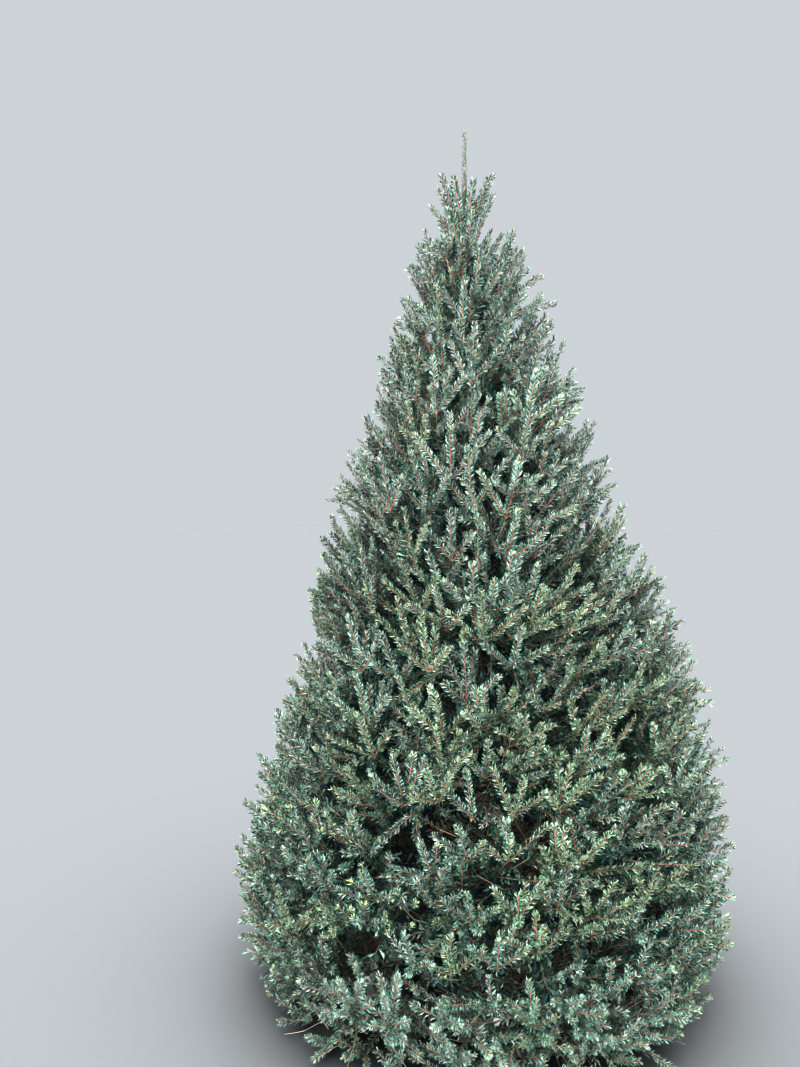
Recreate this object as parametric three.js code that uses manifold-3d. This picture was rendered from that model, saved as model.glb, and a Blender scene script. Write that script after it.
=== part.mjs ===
// A young Norway spruce, grown as a Christmas tree and still rooted: trunk, boughs and needled twigs.
// Millimetres, +Z up. The origin is the centre of the flat cut at ground level. The front faces -Y.

import * as THREE from "three";
import { mergeVertices } from "three/addons/utils/BufferGeometryUtils.js";
import Module from "manifold-3d";

const wasm = await Module();
wasm.setup();

// The whole tree
const TREE_HEIGHT = 3000;
const TIP_LEAN = -52; // how far the tip stands to the left of the foot
const LEAN_GROWTH = 1.4; // how much of the lean comes in the upper trunk
const TRUNK_SWAY = 11; // gentle S bend of the trunk to each side
const CROWN_RADIUS = 855; // furthest reach of the twigs
const WIDEST_HEIGHT = 450;
const OUTLINE_VANISHES = 3150; // height where the crown's outline would close on the axis
const OUTLINE_SHOULDER = 1.3; // how far the full lower crown is carried up
const OUTLINE_SLIMMING = 1.15;
const SKIRT_TUCK = 90; // how much the outline draws in at the ground
const RIGHT_BULGE = 52; // the crown stands further out to the right at mid height
const BULGE_HEIGHT = 1150;
const BULGE_SPAN = 450;
const GROUND_CLEARANCE = 30;

// The trunk
const BUTT_RADIUS = 46;
const TIP_RADIUS = 3;
const TRUNK_TAPER = 1.15;
const FLARE = 20; // how far the root flare stands out at the cut
const FLARE_HEIGHT = 65;
const ROOT_LOBES = 5;
const LOBE_DEPTH = 6;
const TRUNK_SIDES = 12;
const TRUNK_STEPS = 12;
const TRUNK_STEP_GROWTH = 1.5; // the steps are closer together at the foot

// The whorls of limbs
const MASSES_IN_WHORL = [5, 5, 5, 5, 4, 4, 3, 3, 3]; // from the lowest whorl up
const WHORLS_WITH_BOUGHS = 4;
const FIRST_WHORL = 140;
const WHORL_SPACING = 308;
const WHORL_TURN = 2.4; // each whorl is turned by this on the one below, in radians
const LOW_ANGLE = THREE.MathUtils.degToRad(3); // rise of a limb at the ground
const HIGH_ANGLE = THREE.MathUtils.degToRad(63); // and at the highest whorl
const SPOKE_SCATTER = 0.06; // how far a limb's azimuth strays, in radians
const FOOT_SCATTER = 14; // how far a limb leaves the trunk above or below its whorl
const LIMB_SAG = 0.03; // as a share of the limb's reach
const LIMB_BOW = 0.06;
const LIMB_THICKNESS = 0.0115; // radius at the trunk as a share of the limb's length
const LIMB_TAPER = 0.8;
const LIMB_SIDES = 5;
const LIMB_STEPS = 4;
const LIMB_SHARE_STEP = 0.01; // for the direction of a limb at a place
const BOUGH_ENDS = 0.42; // share of the limb that is a bare bough
const STEM_ENDS = 0.8; // share of the limb where the stem inside the foliage ends
const STEM_TIP_RADIUS = 2.5;
const STEM_SIDES = 4;

// The foliage
const SPACE_GAP = 2.5; // each mass keeps this far inside its own space
const ROOF_GAP = 14; // and this far under the hollow cone above it
const JOINT_GAP = 0.35; // between a limb and what carries it
const CORE_START = 0.4; // where along the limb the dense core starts on a bough, and higher up with none
const TOP_CORE_START = 0.14;
const CORE_END = 0.8;
const CORE_WIDTH = 0.95; // share of the space's width that the core fills
const WIDEST_HALF_WEDGE = 0.9; // in radians, for whorls of few masses
const CORE_DEPTH = 0.95; // share of the space's height that the core fills
const CORE_ROUGHNESS = 0.2;
const CORE_REACH = 0.93; // share of the crown's reach that the core and its sprigs stay within
const SEARCH_STEP = 0.06;
const WHORLS_WITH_CORES = 8;
const SPRIG_LENGTH = 230; // the pointed sprigs that the core's faces are drawn out into
const TOP_SPRIG_LENGTH = 130;
const SPRIG_VARIATION = 0.25;
const SPRIGS_FACE = -0.15; // a face is drawn out where it looks this much the way of the twigs
const FORKS_FACE = 0.45; // and its sprig forks where it looks this much that way
const FORK_SHARE = 0.75;
const LEAST_SPRIG = 2;
const FAN_SHARE = 0.7; // how far from the core's middle towards its inner end the sprigs' lines meet
const ROW_PITCH = 230; // between rows of twig tips low on the crown, and at its top
const TOP_ROW_PITCH = 170;
const COLUMN_PITCH = 325; // between twig tips in a row low on the crown, and at its top
const TOP_COLUMN_PITCH = 100;
const EDGE_INSET = 40; // twig tips keep this far from the space's sides low on the crown, and at its top
const TOP_EDGE_INSET = 22;
const COLUMN_STAGGER = 0.25; // every other row has this many more columns before rounding, the rest fewer
const COLUMN_SCATTER = 0.22; // how far a tip strays in its row, in columns
const ROW_SCATTER = 0.24; // and out of its row, in rows
const TIP_SCATTER = 0.05; // how far short of the outline a tip may stay
const TIP_LIFT = THREE.MathUtils.degToRad(16); // twigs turn up from the line of their limb low on the tree
const TWIG_LENGTH = 330; // needled length low on the tree
const TOP_TWIG_LENGTH = 235;
const TWIG_VARIATION = 0.14;
const TWIG_SPLAY = 0.25; // how much twigs beside the limb turn away from it
const TWIG_SCATTER = 0.12; // how far a twig's azimuth strays, in radians
const TWIG_SPREAD = 66; // reach of the needles from the twig low on the tree
const TOP_TWIG_SPREAD = 30;
const TWIG_RADIUS = 6;
const LEAST_FORWARD = 0.45; // cosine of the sharpest bend between a twig's bare foot and its needled length
const BRANCH_SLANT = 0.6; // how far along the limb a twig moves for each length that it reaches aside
const FIRST_TWIG = 0.04; // share of the limb between the stem's start and its first twig
const LAST_TWIG = 0.03; // and between its last twig and the stem's end
const BRANCH_STEP = 0.04;
const NEEDLE_CORE = 14; // radius of the twig's slim core under the needles
const TWIG_SIDES = 3;
const NEEDLE_STAGES = 2;
const STAGE_TWIST = 0.7;
const TWIG_FITS = [
  { shorter: 1, slimmer: 1 },
  { shorter: 0.8, slimmer: 1 },
  { shorter: 0.8, slimmer: 0.8 },
  { shorter: 0.65, slimmer: 0.8 },
  { shorter: 0.65, slimmer: 0.6 },
  { shorter: 0.5, slimmer: 0.5 },
];
const TOOTHED_SHARE = 0.8;
const FOOT_REACH = 1.1; // reach of the lowest teeth as a share of the spread
const REACH_LOSS = 0.4; // and what they lose of it to the tip
const CORE_TAPER = 0.55;
const TOOTH_SLANT = 0.95; // how far forward a tooth leans, in lengths of its own root
const LEADER_FOOT = 2655; // the needles on the leader start here
const LEADER_NEEDLES_TOP = 2985;
const LEADER_COLLAR = 5;
const LEADER_FOOT_SHARE = 0.85;
const LEADER_TURN = 0.4;
const LEADER_SIDES = 5;
const LEADER_STAGES = 5;
const LEADER_CORE = 13;
const LEADER_SPREAD = 28;

const OUTLINE_PASSES = 20; // steps in which a place on the outline is found
const CORE_KEY = 40; // first keys of the numbers drawn for a core's corners, its sprigs and the twigs
const SPRIG_KEY = 200;
const TWIG_KEY = 100;
const ROW_KEYS = 10;
const WELD = 1e-3;
const SLIVER = 0.05; // faces thinner than this are merged away after a join
const TWO_PI = 2 * Math.PI;
const UP = new THREE.Vector3(0, 0, 1);
const ACROSS = new THREE.Vector3(1, 0, 0);
const NEAR_UPRIGHT = 0.97;

const bark = new THREE.MeshStandardMaterial({ color: 0x6b5546, roughness: 0.95, metalness: 0 });
const limbBark = new THREE.MeshStandardMaterial({ color: 0x7d5f4a, roughness: 0.9, metalness: 0 });
const needles = new THREE.MeshStandardMaterial({ color: 0x3f5f4a, roughness: 0.7, metalness: 0 });

// A repeatable number from 0 to 1 for each list of whole-number keys.
function seeded(...keys) {
  let hash = 2166136261;
  for (const key of keys) {
    hash = Math.imul(hash ^ (key + 1), 16777619) >>> 0;
    hash = Math.imul(hash ^ (hash >>> 15), 2246822519) >>> 0;
    hash = (hash ^ (hash >>> 13)) >>> 0;
  }
  return hash / 2 ** 32;
}

// The same, from -1 to 1.
function jitter(...keys) {
  return 2 * seeded(...keys) - 1;
}

// Two axes square to a direction, right-handed with it: side × lift = along.
function crossAxes(along) {
  const reference = Math.abs(along.z) > NEAR_UPRIGHT ? ACROSS : UP;
  const side = new THREE.Vector3().crossVectors(reference, along).normalize();
  const lift = new THREE.Vector3().crossVectors(along, side);
  return { side, lift };
}

// A closed solid from a geometry whose shared corners may be repeated.
function solidOf(geometry) {
  const bare = geometry.clone();
  bare.deleteAttribute("normal");
  bare.deleteAttribute("uv");
  const merged = mergeVertices(bare, WELD);
  const vertProperties = merged.attributes.position.array;
  const triVerts = new Uint32Array(merged.index.array);
  return new wasm.Manifold(new wasm.Mesh({ numProp: 3, vertProperties, triVerts }));
}

// The largest body of a solid, without slivers and loose scraps and with sealed hollows filled.
function wholeBody(solid) {
  const bodies = solid.simplify(SLIVER).decompose();
  return bodies.reduce((best, body) => (body.volume() > best.volume() ? body : best));
}

function namedMesh(name, solid, material) {
  const made = solid.getMesh();
  const geometry = new THREE.BufferGeometry();
  geometry.setAttribute("position", new THREE.BufferAttribute(made.vertProperties, 3));
  geometry.setIndex(new THREE.BufferAttribute(made.triVerts, 1));
  geometry.computeVertexNormals();
  const mesh = new THREE.Mesh(geometry, material);
  mesh.name = name;
  return mesh;
}

// The trunk's axis at a height: a slight lean with an S bend.
function trunkCentre(z) {
  const share = Math.max(0, z / TREE_HEIGHT);
  const x = TIP_LEAN * share ** LEAN_GROWTH + TRUNK_SWAY * Math.sin(TWO_PI * share);
  const y = TRUNK_SWAY * Math.sin(Math.PI * share);
  return new THREE.Vector3(x, y, z);
}

function trunkRadius(z) {
  const left = Math.max(0, 1 - z / TREE_HEIGHT);
  return TIP_RADIUS + (BUTT_RADIUS - TIP_RADIUS) * left ** TRUNK_TAPER;
}

// How far the root flare and its lobes add to the trunk's radius.
function rootFlare(z, angle) {
  return (FLARE + LOBE_DEPTH * Math.cos(ROOT_LOBES * angle)) * Math.exp(-z / FLARE_HEIGHT);
}

// The trunk, or with grow above 0 the trunk with that much clearance round it.
function trunkGeometry(grow) {
  const shares = [...Array(TRUNK_STEPS + 1).keys()].map((step) => (step / TRUNK_STEPS) ** TRUNK_STEP_GROWTH);
  const rows = shares.map((share) => TREE_HEIGHT * share);
  const profile = rows.map((z) => new THREE.Vector2(trunkRadius(z) + grow, z));
  const closed = [new THREE.Vector2(0, 0), ...profile, new THREE.Vector2(0, TREE_HEIGHT)];
  const geometry = new THREE.LatheGeometry(closed, TRUNK_SIDES);
  geometry.rotateX(Math.PI / 2);
  const place = geometry.attributes.position;
  for (let i = 0; i < place.count; i++) {
    const [x, y, z] = [place.getX(i), place.getY(i), place.getZ(i)];
    const radius = Math.hypot(x, y);
    const angle = Math.atan2(y, x);
    const wider = radius < WELD ? 0 : (radius + rootFlare(z, angle)) / radius;
    const centre = trunkCentre(z);
    place.setXYZ(i, centre.x + x * wider, centre.y + y * wider, z);
  }
  return geometry;
}

// The crown's outline as a radius at each height.
function crownRadius(z) {
  if (z < WIDEST_HEIGHT) {
    return CROWN_RADIUS - SKIRT_TUCK * ((WIDEST_HEIGHT - z) / WIDEST_HEIGHT) ** 2;
  }
  const share = Math.min(1, (z - WIDEST_HEIGHT) / (OUTLINE_VANISHES - WIDEST_HEIGHT));
  return CROWN_RADIUS * (1 - share ** OUTLINE_SHOULDER) ** OUTLINE_SLIMMING;
}

// The crown's reach from the trunk's axis in one direction.
function crownReach(z, azimuth) {
  const bulge = RIGHT_BULGE * Math.exp(-(((z - BULGE_HEIGHT) / BULGE_SPAN) ** 2));
  return crownRadius(z) + bulge * Math.cos(azimuth);
}

function whorlHeight(whorl) {
  return FIRST_WHORL + whorl * WHORL_SPACING;
}

// How steeply limbs that leave the trunk at a height rise.
function limbAngle(z) {
  return THREE.MathUtils.lerp(LOW_ANGLE, HIGH_ANGLE, z / whorlHeight(MASSES_IN_WHORL.length - 1));
}

// The cone that parts a whorl's space from the whorl below, as a height at each distance from the axis.
function spaceFloor(whorl, distance) {
  if (whorl === 0) return GROUND_CLEARANCE;
  const z = whorlHeight(whorl) - WHORL_SPACING / 2;
  return z + Math.tan(limbAngle(z)) * distance;
}

function massAzimuth(whorl, spoke) {
  return whorl * WHORL_TURN + (spoke * TWO_PI) / MASSES_IN_WHORL[whorl];
}

// A point's distance and azimuth from the trunk's axis at its height.
function polar(point) {
  const centre = trunkCentre(point.z);
  const [x, y] = [point.x - centre.x, point.y - centre.y];
  return { distance: Math.hypot(x, y), azimuth: Math.atan2(y, x) };
}

function fromPolar(distance, azimuth, z) {
  const centre = trunkCentre(z);
  const x = centre.x + distance * Math.cos(azimuth);
  const y = centre.y + distance * Math.sin(azimuth);
  return new THREE.Vector3(x, y, z);
}

// The angle from one azimuth to another, from -π to π.
function turnBetween(from, to) {
  return THREE.MathUtils.euclideanModulo(to - from + Math.PI, TWO_PI) - Math.PI;
}

// How far foliage keeps from the trunk's axis.
function innerLimit(z) {
  const besideLeader = z > LEADER_FOOT - SPACE_GAP ? LEADER_SPREAD : trunkRadius(z);
  return besideLeader + 2 * SPACE_GAP;
}

// Whether a point lies in the wedge that one mass keeps to.
function inSpace(point, whorl, spoke) {
  const { distance, azimuth } = polar(point);
  const halfWedge = Math.PI / MASSES_IN_WHORL[whorl];
  const off = Math.abs(turnBetween(massAzimuth(whorl, spoke), azimuth));
  const toSide = distance * Math.sin(Math.min(halfWedge - off, Math.PI / 2));
  const aboveFloor = point.z - spaceFloor(whorl, distance);
  const belowRoof = spaceFloor(whorl + 1, distance) - point.z;
  return (
    toSide > SPACE_GAP &&
    aboveFloor > SPACE_GAP &&
    belowRoof > ROOF_GAP &&
    point.z > GROUND_CLEARANCE &&
    distance > innerLimit(point.z)
  );
}

// The furthest point from one point to another that lies in a mass's space and short of the twigs' tips.
function reachInside(from, to, whorl, spoke) {
  const point = to.clone();
  for (let share = 1; share > SEARCH_STEP; share -= SEARCH_STEP) {
    point.lerpVectors(from, to, share);
    const { distance, azimuth } = polar(point);
    if (distance < CORE_REACH * crownReach(point.z, azimuth) && inSpace(point, whorl, spoke)) return point;
  }
  return from.clone();
}

// One limb's line from the trunk's axis to the crown's outline.
function limbLine(whorl, spoke) {
  const azimuth = massAzimuth(whorl, spoke) + SPOKE_SCATTER * jitter(whorl, spoke, 1);
  const foot = whorlHeight(whorl) + FOOT_SCATTER * jitter(whorl, spoke, 2);
  const rise = Math.tan(limbAngle(foot));
  let reach = 0;
  for (let pass = 0; pass < OUTLINE_PASSES; pass++) {
    reach = (reach + crownReach(foot + rise * reach, azimuth)) / 2;
  }
  const bow = LIMB_BOW * jitter(whorl, spoke, 3);
  const at = (share) => {
    const swell = Math.sin(Math.PI * share);
    const distance = reach * share;
    const turned = azimuth + bow * swell;
    return fromPolar(distance, turned, foot + rise * distance - LIMB_SAG * reach * swell);
  };
  const length = reach / Math.cos(Math.atan(rise));
  const radiusAt = (share) => {
    const worn = Math.min(1, share / STEM_ENDS) ** LIMB_TAPER;
    return THREE.MathUtils.lerp(LIMB_THICKNESS * length, STEM_TIP_RADIUS, worn);
  };
  return { azimuth, reach, rise, length, at, radiusAt };
}

// A tapering limb along part of a line.
function limbGeometry(line, from, to, grow, sides) {
  const geometry = new THREE.CylinderGeometry(1, 1, 1, sides, LIMB_STEPS);
  const place = geometry.attributes.position;
  for (let i = 0; i < place.count; i++) {
    const share = THREE.MathUtils.lerp(from, to, place.getY(i) + 0.5);
    const along = line.at(share + LIMB_SHARE_STEP).sub(line.at(share - LIMB_SHARE_STEP)).normalize();
    const { side, lift } = crossAxes(along);
    const radius = line.radiusAt(share) + grow;
    const point = line.at(share);
    point.addScaledVector(lift, place.getX(i) * radius);
    point.addScaledVector(side, place.getZ(i) * radius);
    place.setXYZ(i, point.x, point.y, point.z);
  }
  return geometry;
}

// The way that twigs point at a place: outward along an azimuth and upward, more steeply up the tree.
function twigDirection(z, whorl, azimuth) {
  const low = Math.min(z, whorlHeight(whorl) + WHORL_SPACING / 2);
  const steep = limbAngle(low) + TIP_LIFT * (1 - z / TREE_HEIGHT);
  const flat = Math.cos(steep);
  return new THREE.Vector3(flat * Math.cos(azimuth), flat * Math.sin(azimuth), Math.sin(steep));
}

// The dense heart of a mass: a rough flattened body round its stem. Each face that looks outward is drawn out
// into a pointed sprig. All sprigs fan out from one point near the body's inner end, so none cuts another.
function coreGeometry(line, whorl, spoke) {
  const start = whorl < WHORLS_WITH_BOUGHS ? CORE_START : TOP_CORE_START;
  const middle = (start + CORE_END) / 2;
  const centre = line.at(middle);
  const along = line.at(CORE_END).sub(line.at(start)).normalize();
  const { side, lift } = crossAxes(along);
  const distance = line.reach * middle;
  const halfWedge = Math.min(Math.PI / MASSES_IN_WHORL[whorl], WIDEST_HALF_WEDGE);
  const height = spaceFloor(whorl + 1, distance) - spaceFloor(whorl, distance);
  const halfLength = (line.length * (CORE_END - start)) / 2;
  const halfWidth = CORE_WIDTH * distance * Math.tan(halfWedge);
  const halfDepth = (CORE_DEPTH * height * Math.cos(Math.atan(line.rise))) / 2;
  const ball = new THREE.IcosahedronGeometry(1);
  ball.deleteAttribute("normal");
  ball.deleteAttribute("uv");
  const round = mergeVertices(ball, WELD);
  const corners = [...Array(round.attributes.position.count).keys()].map((i) => {
    const unit = new THREE.Vector3().fromBufferAttribute(round.attributes.position, i);
    unit.multiplyScalar(1 - CORE_ROUGHNESS * seeded(whorl, spoke, CORE_KEY + i));
    const point = centre.clone();
    point.addScaledVector(lift, unit.x * halfDepth);
    point.addScaledVector(along, unit.y * halfLength);
    point.addScaledVector(side, unit.z * halfWidth);
    return reachInside(centre, point, whorl, spoke);
  });
  const fan = centre.clone().addScaledVector(along, -FAN_SHARE * halfLength);
  const sprig = THREE.MathUtils.lerp(SPRIG_LENGTH, TOP_SPRIG_LENGTH, centre.z / TREE_HEIGHT);
  const faces = [];
  const drawOut = (a, b, c, length, order) => {
    const triangle = new THREE.Triangle(corners[a], corners[b], corners[c]);
    const foot = triangle.getMidpoint(new THREE.Vector3());
    const outward = twigDirection(foot.z, whorl, polar(foot).azimuth);
    const facing = triangle.getNormal(new THREE.Vector3()).dot(outward);
    if (facing < SPRIGS_FACE) {
      faces.push(a, b, c);
      return;
    }
    const varied = length * (1 + SPRIG_VARIATION * jitter(whorl, spoke, SPRIG_KEY + corners.length));
    const away = new THREE.Vector3().subVectors(foot, fan).normalize();
    const least = foot.clone().addScaledVector(away, LEAST_SPRIG);
    corners.push(reachInside(least, foot.addScaledVector(away, varied), whorl, spoke));
    const tip = corners.length - 1;
    for (const [d, e] of [[a, b], [b, c], [c, a]]) {
      if (order === 1 && facing > FORKS_FACE) drawOut(d, e, tip, length * FORK_SHARE, 2);
      else faces.push(d, e, tip);
    }
  };
  for (let i = 0; i < round.index.count; i += 3) {
    drawOut(round.index.getX(i), round.index.getX(i + 1), round.index.getX(i + 2), sprig, 1);
  }
  const geometry = new THREE.BufferGeometry().setFromPoints(corners);
  geometry.setIndex(faces);
  return geometry;
}

// A twig with its spray of needles: a bare length from root to bend, then a slim many-sided core to the tip,
// with a tooth of needles drawn out of each side of each stage, slanting forward.
function needledTwig({ root, bend, tip, radius, core, spread, sides, stages, turn }) {
  const along = new THREE.Vector3().subVectors(tip, bend);
  const length = along.length();
  along.normalize();
  const { side, lift } = crossAxes(along);
  const corners = [];
  const faces = [];
  const off = (centre, angle, out) => {
    const point = centre.clone();
    point.addScaledVector(side, Math.cos(angle) * out).addScaledVector(lift, Math.sin(angle) * out);
    corners.push(point.x, point.y, point.z);
    return corners.length / 3 - 1;
  };
  const ring = (centre, out, angle) => {
    return [...Array(sides).keys()].map((k) => off(centre, angle + (k * TWO_PI) / sides, out));
  };
  const foot = ring(root, radius, turn);
  for (let k = 1; k + 1 < sides; k++) faces.push(foot[0], foot[k + 1], foot[k]);
  const stageLength = (TOOTHED_SHARE * length) / stages;
  let below = ring(bend, core, turn);
  for (let k = 0; k < sides; k++) {
    const next = (k + 1) % sides;
    faces.push(foot[k], foot[next], below[next], foot[k], below[next], below[k]);
  }
  for (let stage = 1; stage <= stages; stage++) {
    const share = stage / stages;
    const angle = turn + stage * STAGE_TWIST;
    const centre = bend.clone().addScaledVector(along, stage * stageLength);
    const above = ring(centre, core * (1 - CORE_TAPER * share), angle);
    const toothBase = bend.clone().addScaledVector(along, (stage - 0.5 + TOOTH_SLANT) * stageLength);
    const reach = spread * (FOOT_REACH - REACH_LOSS * share);
    for (let k = 0; k < sides; k++) {
      const next = (k + 1) % sides;
      const tooth = off(toothBase, angle - STAGE_TWIST / 2 + ((k + 0.5) * TWO_PI) / sides, reach);
      const rim = [below[k], below[next], above[next], above[k]];
      for (let edge = 0; edge < 4; edge++) faces.push(rim[edge], rim[(edge + 1) % 4], tooth);
    }
    below = above;
  }
  corners.push(tip.x, tip.y, tip.z);
  const point = corners.length / 3 - 1;
  for (let k = 0; k < sides; k++) faces.push(below[k], below[(k + 1) % sides], point);
  const geometry = new THREE.BufferGeometry();
  geometry.setAttribute("position", new THREE.Float32BufferAttribute(corners, 3));
  geometry.setIndex(faces);
  return geometry;
}

// The rows and columns of twig tips that a mass carries on the crown's outline.
function twigTips(whorl, spoke) {
  const azimuth = massAzimuth(whorl, spoke);
  const halfWedge = Math.PI / MASSES_IN_WHORL[whorl];
  const heightAtOutline = (level) => {
    let z = whorlHeight(whorl);
    for (let pass = 0; pass < OUTLINE_PASSES; pass++) z = (z + spaceFloor(level, crownRadius(z))) / 2;
    return z;
  };
  const up = whorlHeight(whorl) / TREE_HEIGHT;
  const inset = THREE.MathUtils.lerp(EDGE_INSET, TOP_EDGE_INSET, up);
  const rowPitch = THREE.MathUtils.lerp(ROW_PITCH, TOP_ROW_PITCH, up);
  const columnPitch = THREE.MathUtils.lerp(COLUMN_PITCH, TOP_COLUMN_PITCH, up);
  const low = heightAtOutline(whorl) + inset;
  const high = heightAtOutline(whorl + 1) - inset;
  const slope = Math.hypot(high - low, crownRadius(low) - crownRadius(high));
  const rows = Math.max(1, Math.round(slope / rowPitch));
  const tips = [];
  for (let row = 0; row < rows; row++) {
    const z = THREE.MathUtils.lerp(low, high, (row + 0.5) / rows);
    const halfWidth = crownRadius(z) * halfWedge - inset;
    const stagger = row % 2 ? -COLUMN_STAGGER : COLUMN_STAGGER;
    const columns = Math.max(1, Math.round((2 * halfWidth) / columnPitch + stagger));
    for (let column = 0; column < columns; column++) {
      const keys = [whorl, spoke, TWIG_KEY + row * ROW_KEYS + column];
      const across = ((column + 0.5 + COLUMN_SCATTER * jitter(...keys, 1)) / columns) * 2 - 1;
      const height = z + (ROW_SCATTER * (high - low) * jitter(...keys, 2)) / rows;
      const turned = azimuth + (across * halfWidth) / crownRadius(height);
      const reach = crownReach(height, turned) * (1 - TIP_SCATTER * seeded(...keys, 3));
      tips.push({ keys, tip: fromPolar(reach, turned, height), turned });
    }
  }
  return tips;
}

// Whether all of a twig past its root lies in its mass's space.
function twigInside(geometry, whorl, spoke) {
  const place = geometry.attributes.position;
  const corner = new THREE.Vector3();
  for (let i = TWIG_SIDES; i < place.count; i++) {
    if (!inSpace(corner.fromBufferAttribute(place, i), whorl, spoke)) return false;
  }
  return true;
}

// One needled twig of a mass, from its limb's stem to a tip on the outline: shorter or slimmer where its
// space is narrow, and null if it would still leave it.
function twigOf(line, whorl, spoke, { keys, tip, turned }, from) {
  const up = tip.z / TREE_HEIGHT;
  const varied = 1 + TWIG_VARIATION * jitter(...keys, 4);
  const length = THREE.MathUtils.lerp(TWIG_LENGTH, TOP_TWIG_LENGTH, up) * varied;
  const spread = THREE.MathUtils.lerp(TWIG_SPREAD, TOP_TWIG_SPREAD, up);
  const splay = TWIG_SPLAY * turnBetween(line.azimuth, turned);
  const heading = turned + splay + TWIG_SCATTER * jitter(...keys, 5);
  const along = twigDirection(tip.z, whorl, heading);
  const clearOfTrunk = (trunkRadius(line.at(0).z) + TWIG_RADIUS) / line.reach;
  const lowest = Math.max(from + FIRST_TWIG, clearOfTrunk);
  for (const { shorter, slimmer } of TWIG_FITS) {
    const bend = tip.clone().addScaledVector(along, -length * shorter);
    const { distance, azimuth } = polar(bend);
    const aside = Math.abs(distance * Math.sin(turnBetween(line.azimuth, azimuth)));
    const nearest = (distance - BRANCH_SLANT * aside) / line.reach;
    let share = THREE.MathUtils.clamp(nearest, lowest, STEM_ENDS - LAST_TWIG);
    const forward = () => bend.clone().sub(line.at(share)).normalize().dot(along);
    while (forward() < LEAST_FORWARD && share > lowest) {
      share = Math.max(lowest, share - BRANCH_STEP);
    }
    if (forward() < LEAST_FORWARD) continue;
    const geometry = needledTwig({
      root: line.at(share),
      bend,
      tip,
      radius: TWIG_RADIUS,
      core: NEEDLE_CORE * slimmer,
      spread: spread * slimmer,
      sides: TWIG_SIDES,
      stages: NEEDLE_STAGES,
      turn: TWO_PI * seeded(...keys, 6),
    });
    if (twigInside(geometry, whorl, spoke)) return geometry;
  }
  return null;
}

// A mass of foliage: stem, core and twigs as one solid, cut clear of what carries it.
function foliageSolid(line, whorl, spoke, from, carrier) {
  const parts = [limbGeometry(line, from, STEM_ENDS, 0, STEM_SIDES)];
  if (whorl < WHORLS_WITH_CORES) parts.push(coreGeometry(line, whorl, spoke));
  for (const target of twigTips(whorl, spoke)) {
    const twig = twigOf(line, whorl, spoke, target, from);
    if (twig) parts.push(twig);
  }
  const joined = parts.map(solidOf).reduce((sum, part) => sum.add(part));
  return wholeBody(joined.subtract(carrier));
}

// The needles on the leader: a toothed sleeve that the trunk's tip runs through.
function leaderSleeve(clearance) {
  const geometry = needledTwig({
    root: trunkCentre(LEADER_FOOT),
    bend: trunkCentre(LEADER_FOOT + LEADER_COLLAR),
    tip: trunkCentre(LEADER_NEEDLES_TOP),
    radius: LEADER_CORE * LEADER_FOOT_SHARE,
    core: LEADER_CORE,
    spread: LEADER_SPREAD,
    sides: LEADER_SIDES,
    stages: LEADER_STAGES,
    turn: LEADER_TURN,
  });
  return wholeBody(solidOf(geometry).subtract(clearance));
}

const tree = new THREE.Group();
const trunkClearance = solidOf(trunkGeometry(JOINT_GAP));
tree.add(namedMesh("trunk", solidOf(trunkGeometry(0)), bark));

for (let whorl = 0; whorl < MASSES_IN_WHORL.length; whorl++) {
  for (let spoke = 0; spoke < MASSES_IN_WHORL[whorl]; spoke++) {
    const label = `${whorl + 1}_${spoke + 1}`;
    const line = limbLine(whorl, spoke);
    if (whorl < WHORLS_WITH_BOUGHS) {
      const bough = solidOf(limbGeometry(line, 0, BOUGH_ENDS, 0, LIMB_SIDES));
      tree.add(namedMesh(`bough_${label}`, wholeBody(bough.subtract(trunkClearance)), limbBark));
      const past = BOUGH_ENDS + JOINT_GAP / line.length;
      const clearance = solidOf(limbGeometry(line, 0, past, 2 * JOINT_GAP, LIMB_SIDES));
      const foliage = foliageSolid(line, whorl, spoke, BOUGH_ENDS, clearance);
      tree.add(namedMesh(`foliage_${label}`, foliage, needles));
    } else {
      const foliage = foliageSolid(line, whorl, spoke, 0, trunkClearance);
      tree.add(namedMesh(`foliage_${label}`, foliage, needles));
    }
  }
}
tree.add(namedMesh("leader_needles", leaderSleeve(trunkClearance), needles));

export default tree;
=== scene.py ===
import math

import bpy
import numpy as np
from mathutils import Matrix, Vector, noise


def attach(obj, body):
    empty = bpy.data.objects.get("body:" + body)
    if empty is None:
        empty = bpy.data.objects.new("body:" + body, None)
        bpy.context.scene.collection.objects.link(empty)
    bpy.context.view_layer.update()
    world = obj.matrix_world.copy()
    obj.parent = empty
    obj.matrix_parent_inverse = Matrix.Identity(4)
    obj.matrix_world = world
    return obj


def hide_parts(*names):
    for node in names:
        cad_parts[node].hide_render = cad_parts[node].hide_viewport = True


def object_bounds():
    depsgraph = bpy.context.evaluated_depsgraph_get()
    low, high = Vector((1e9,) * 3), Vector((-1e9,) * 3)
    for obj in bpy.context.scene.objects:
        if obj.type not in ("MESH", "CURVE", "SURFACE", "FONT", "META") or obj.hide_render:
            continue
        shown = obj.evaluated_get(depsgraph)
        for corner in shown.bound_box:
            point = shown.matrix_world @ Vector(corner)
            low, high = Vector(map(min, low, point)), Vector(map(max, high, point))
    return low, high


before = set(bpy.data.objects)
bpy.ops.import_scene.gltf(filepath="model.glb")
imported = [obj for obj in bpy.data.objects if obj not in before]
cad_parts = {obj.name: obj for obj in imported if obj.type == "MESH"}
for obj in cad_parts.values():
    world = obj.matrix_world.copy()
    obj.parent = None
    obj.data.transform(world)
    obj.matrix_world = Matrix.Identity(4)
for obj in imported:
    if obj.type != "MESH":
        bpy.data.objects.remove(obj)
cad_low, cad_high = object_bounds()

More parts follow.
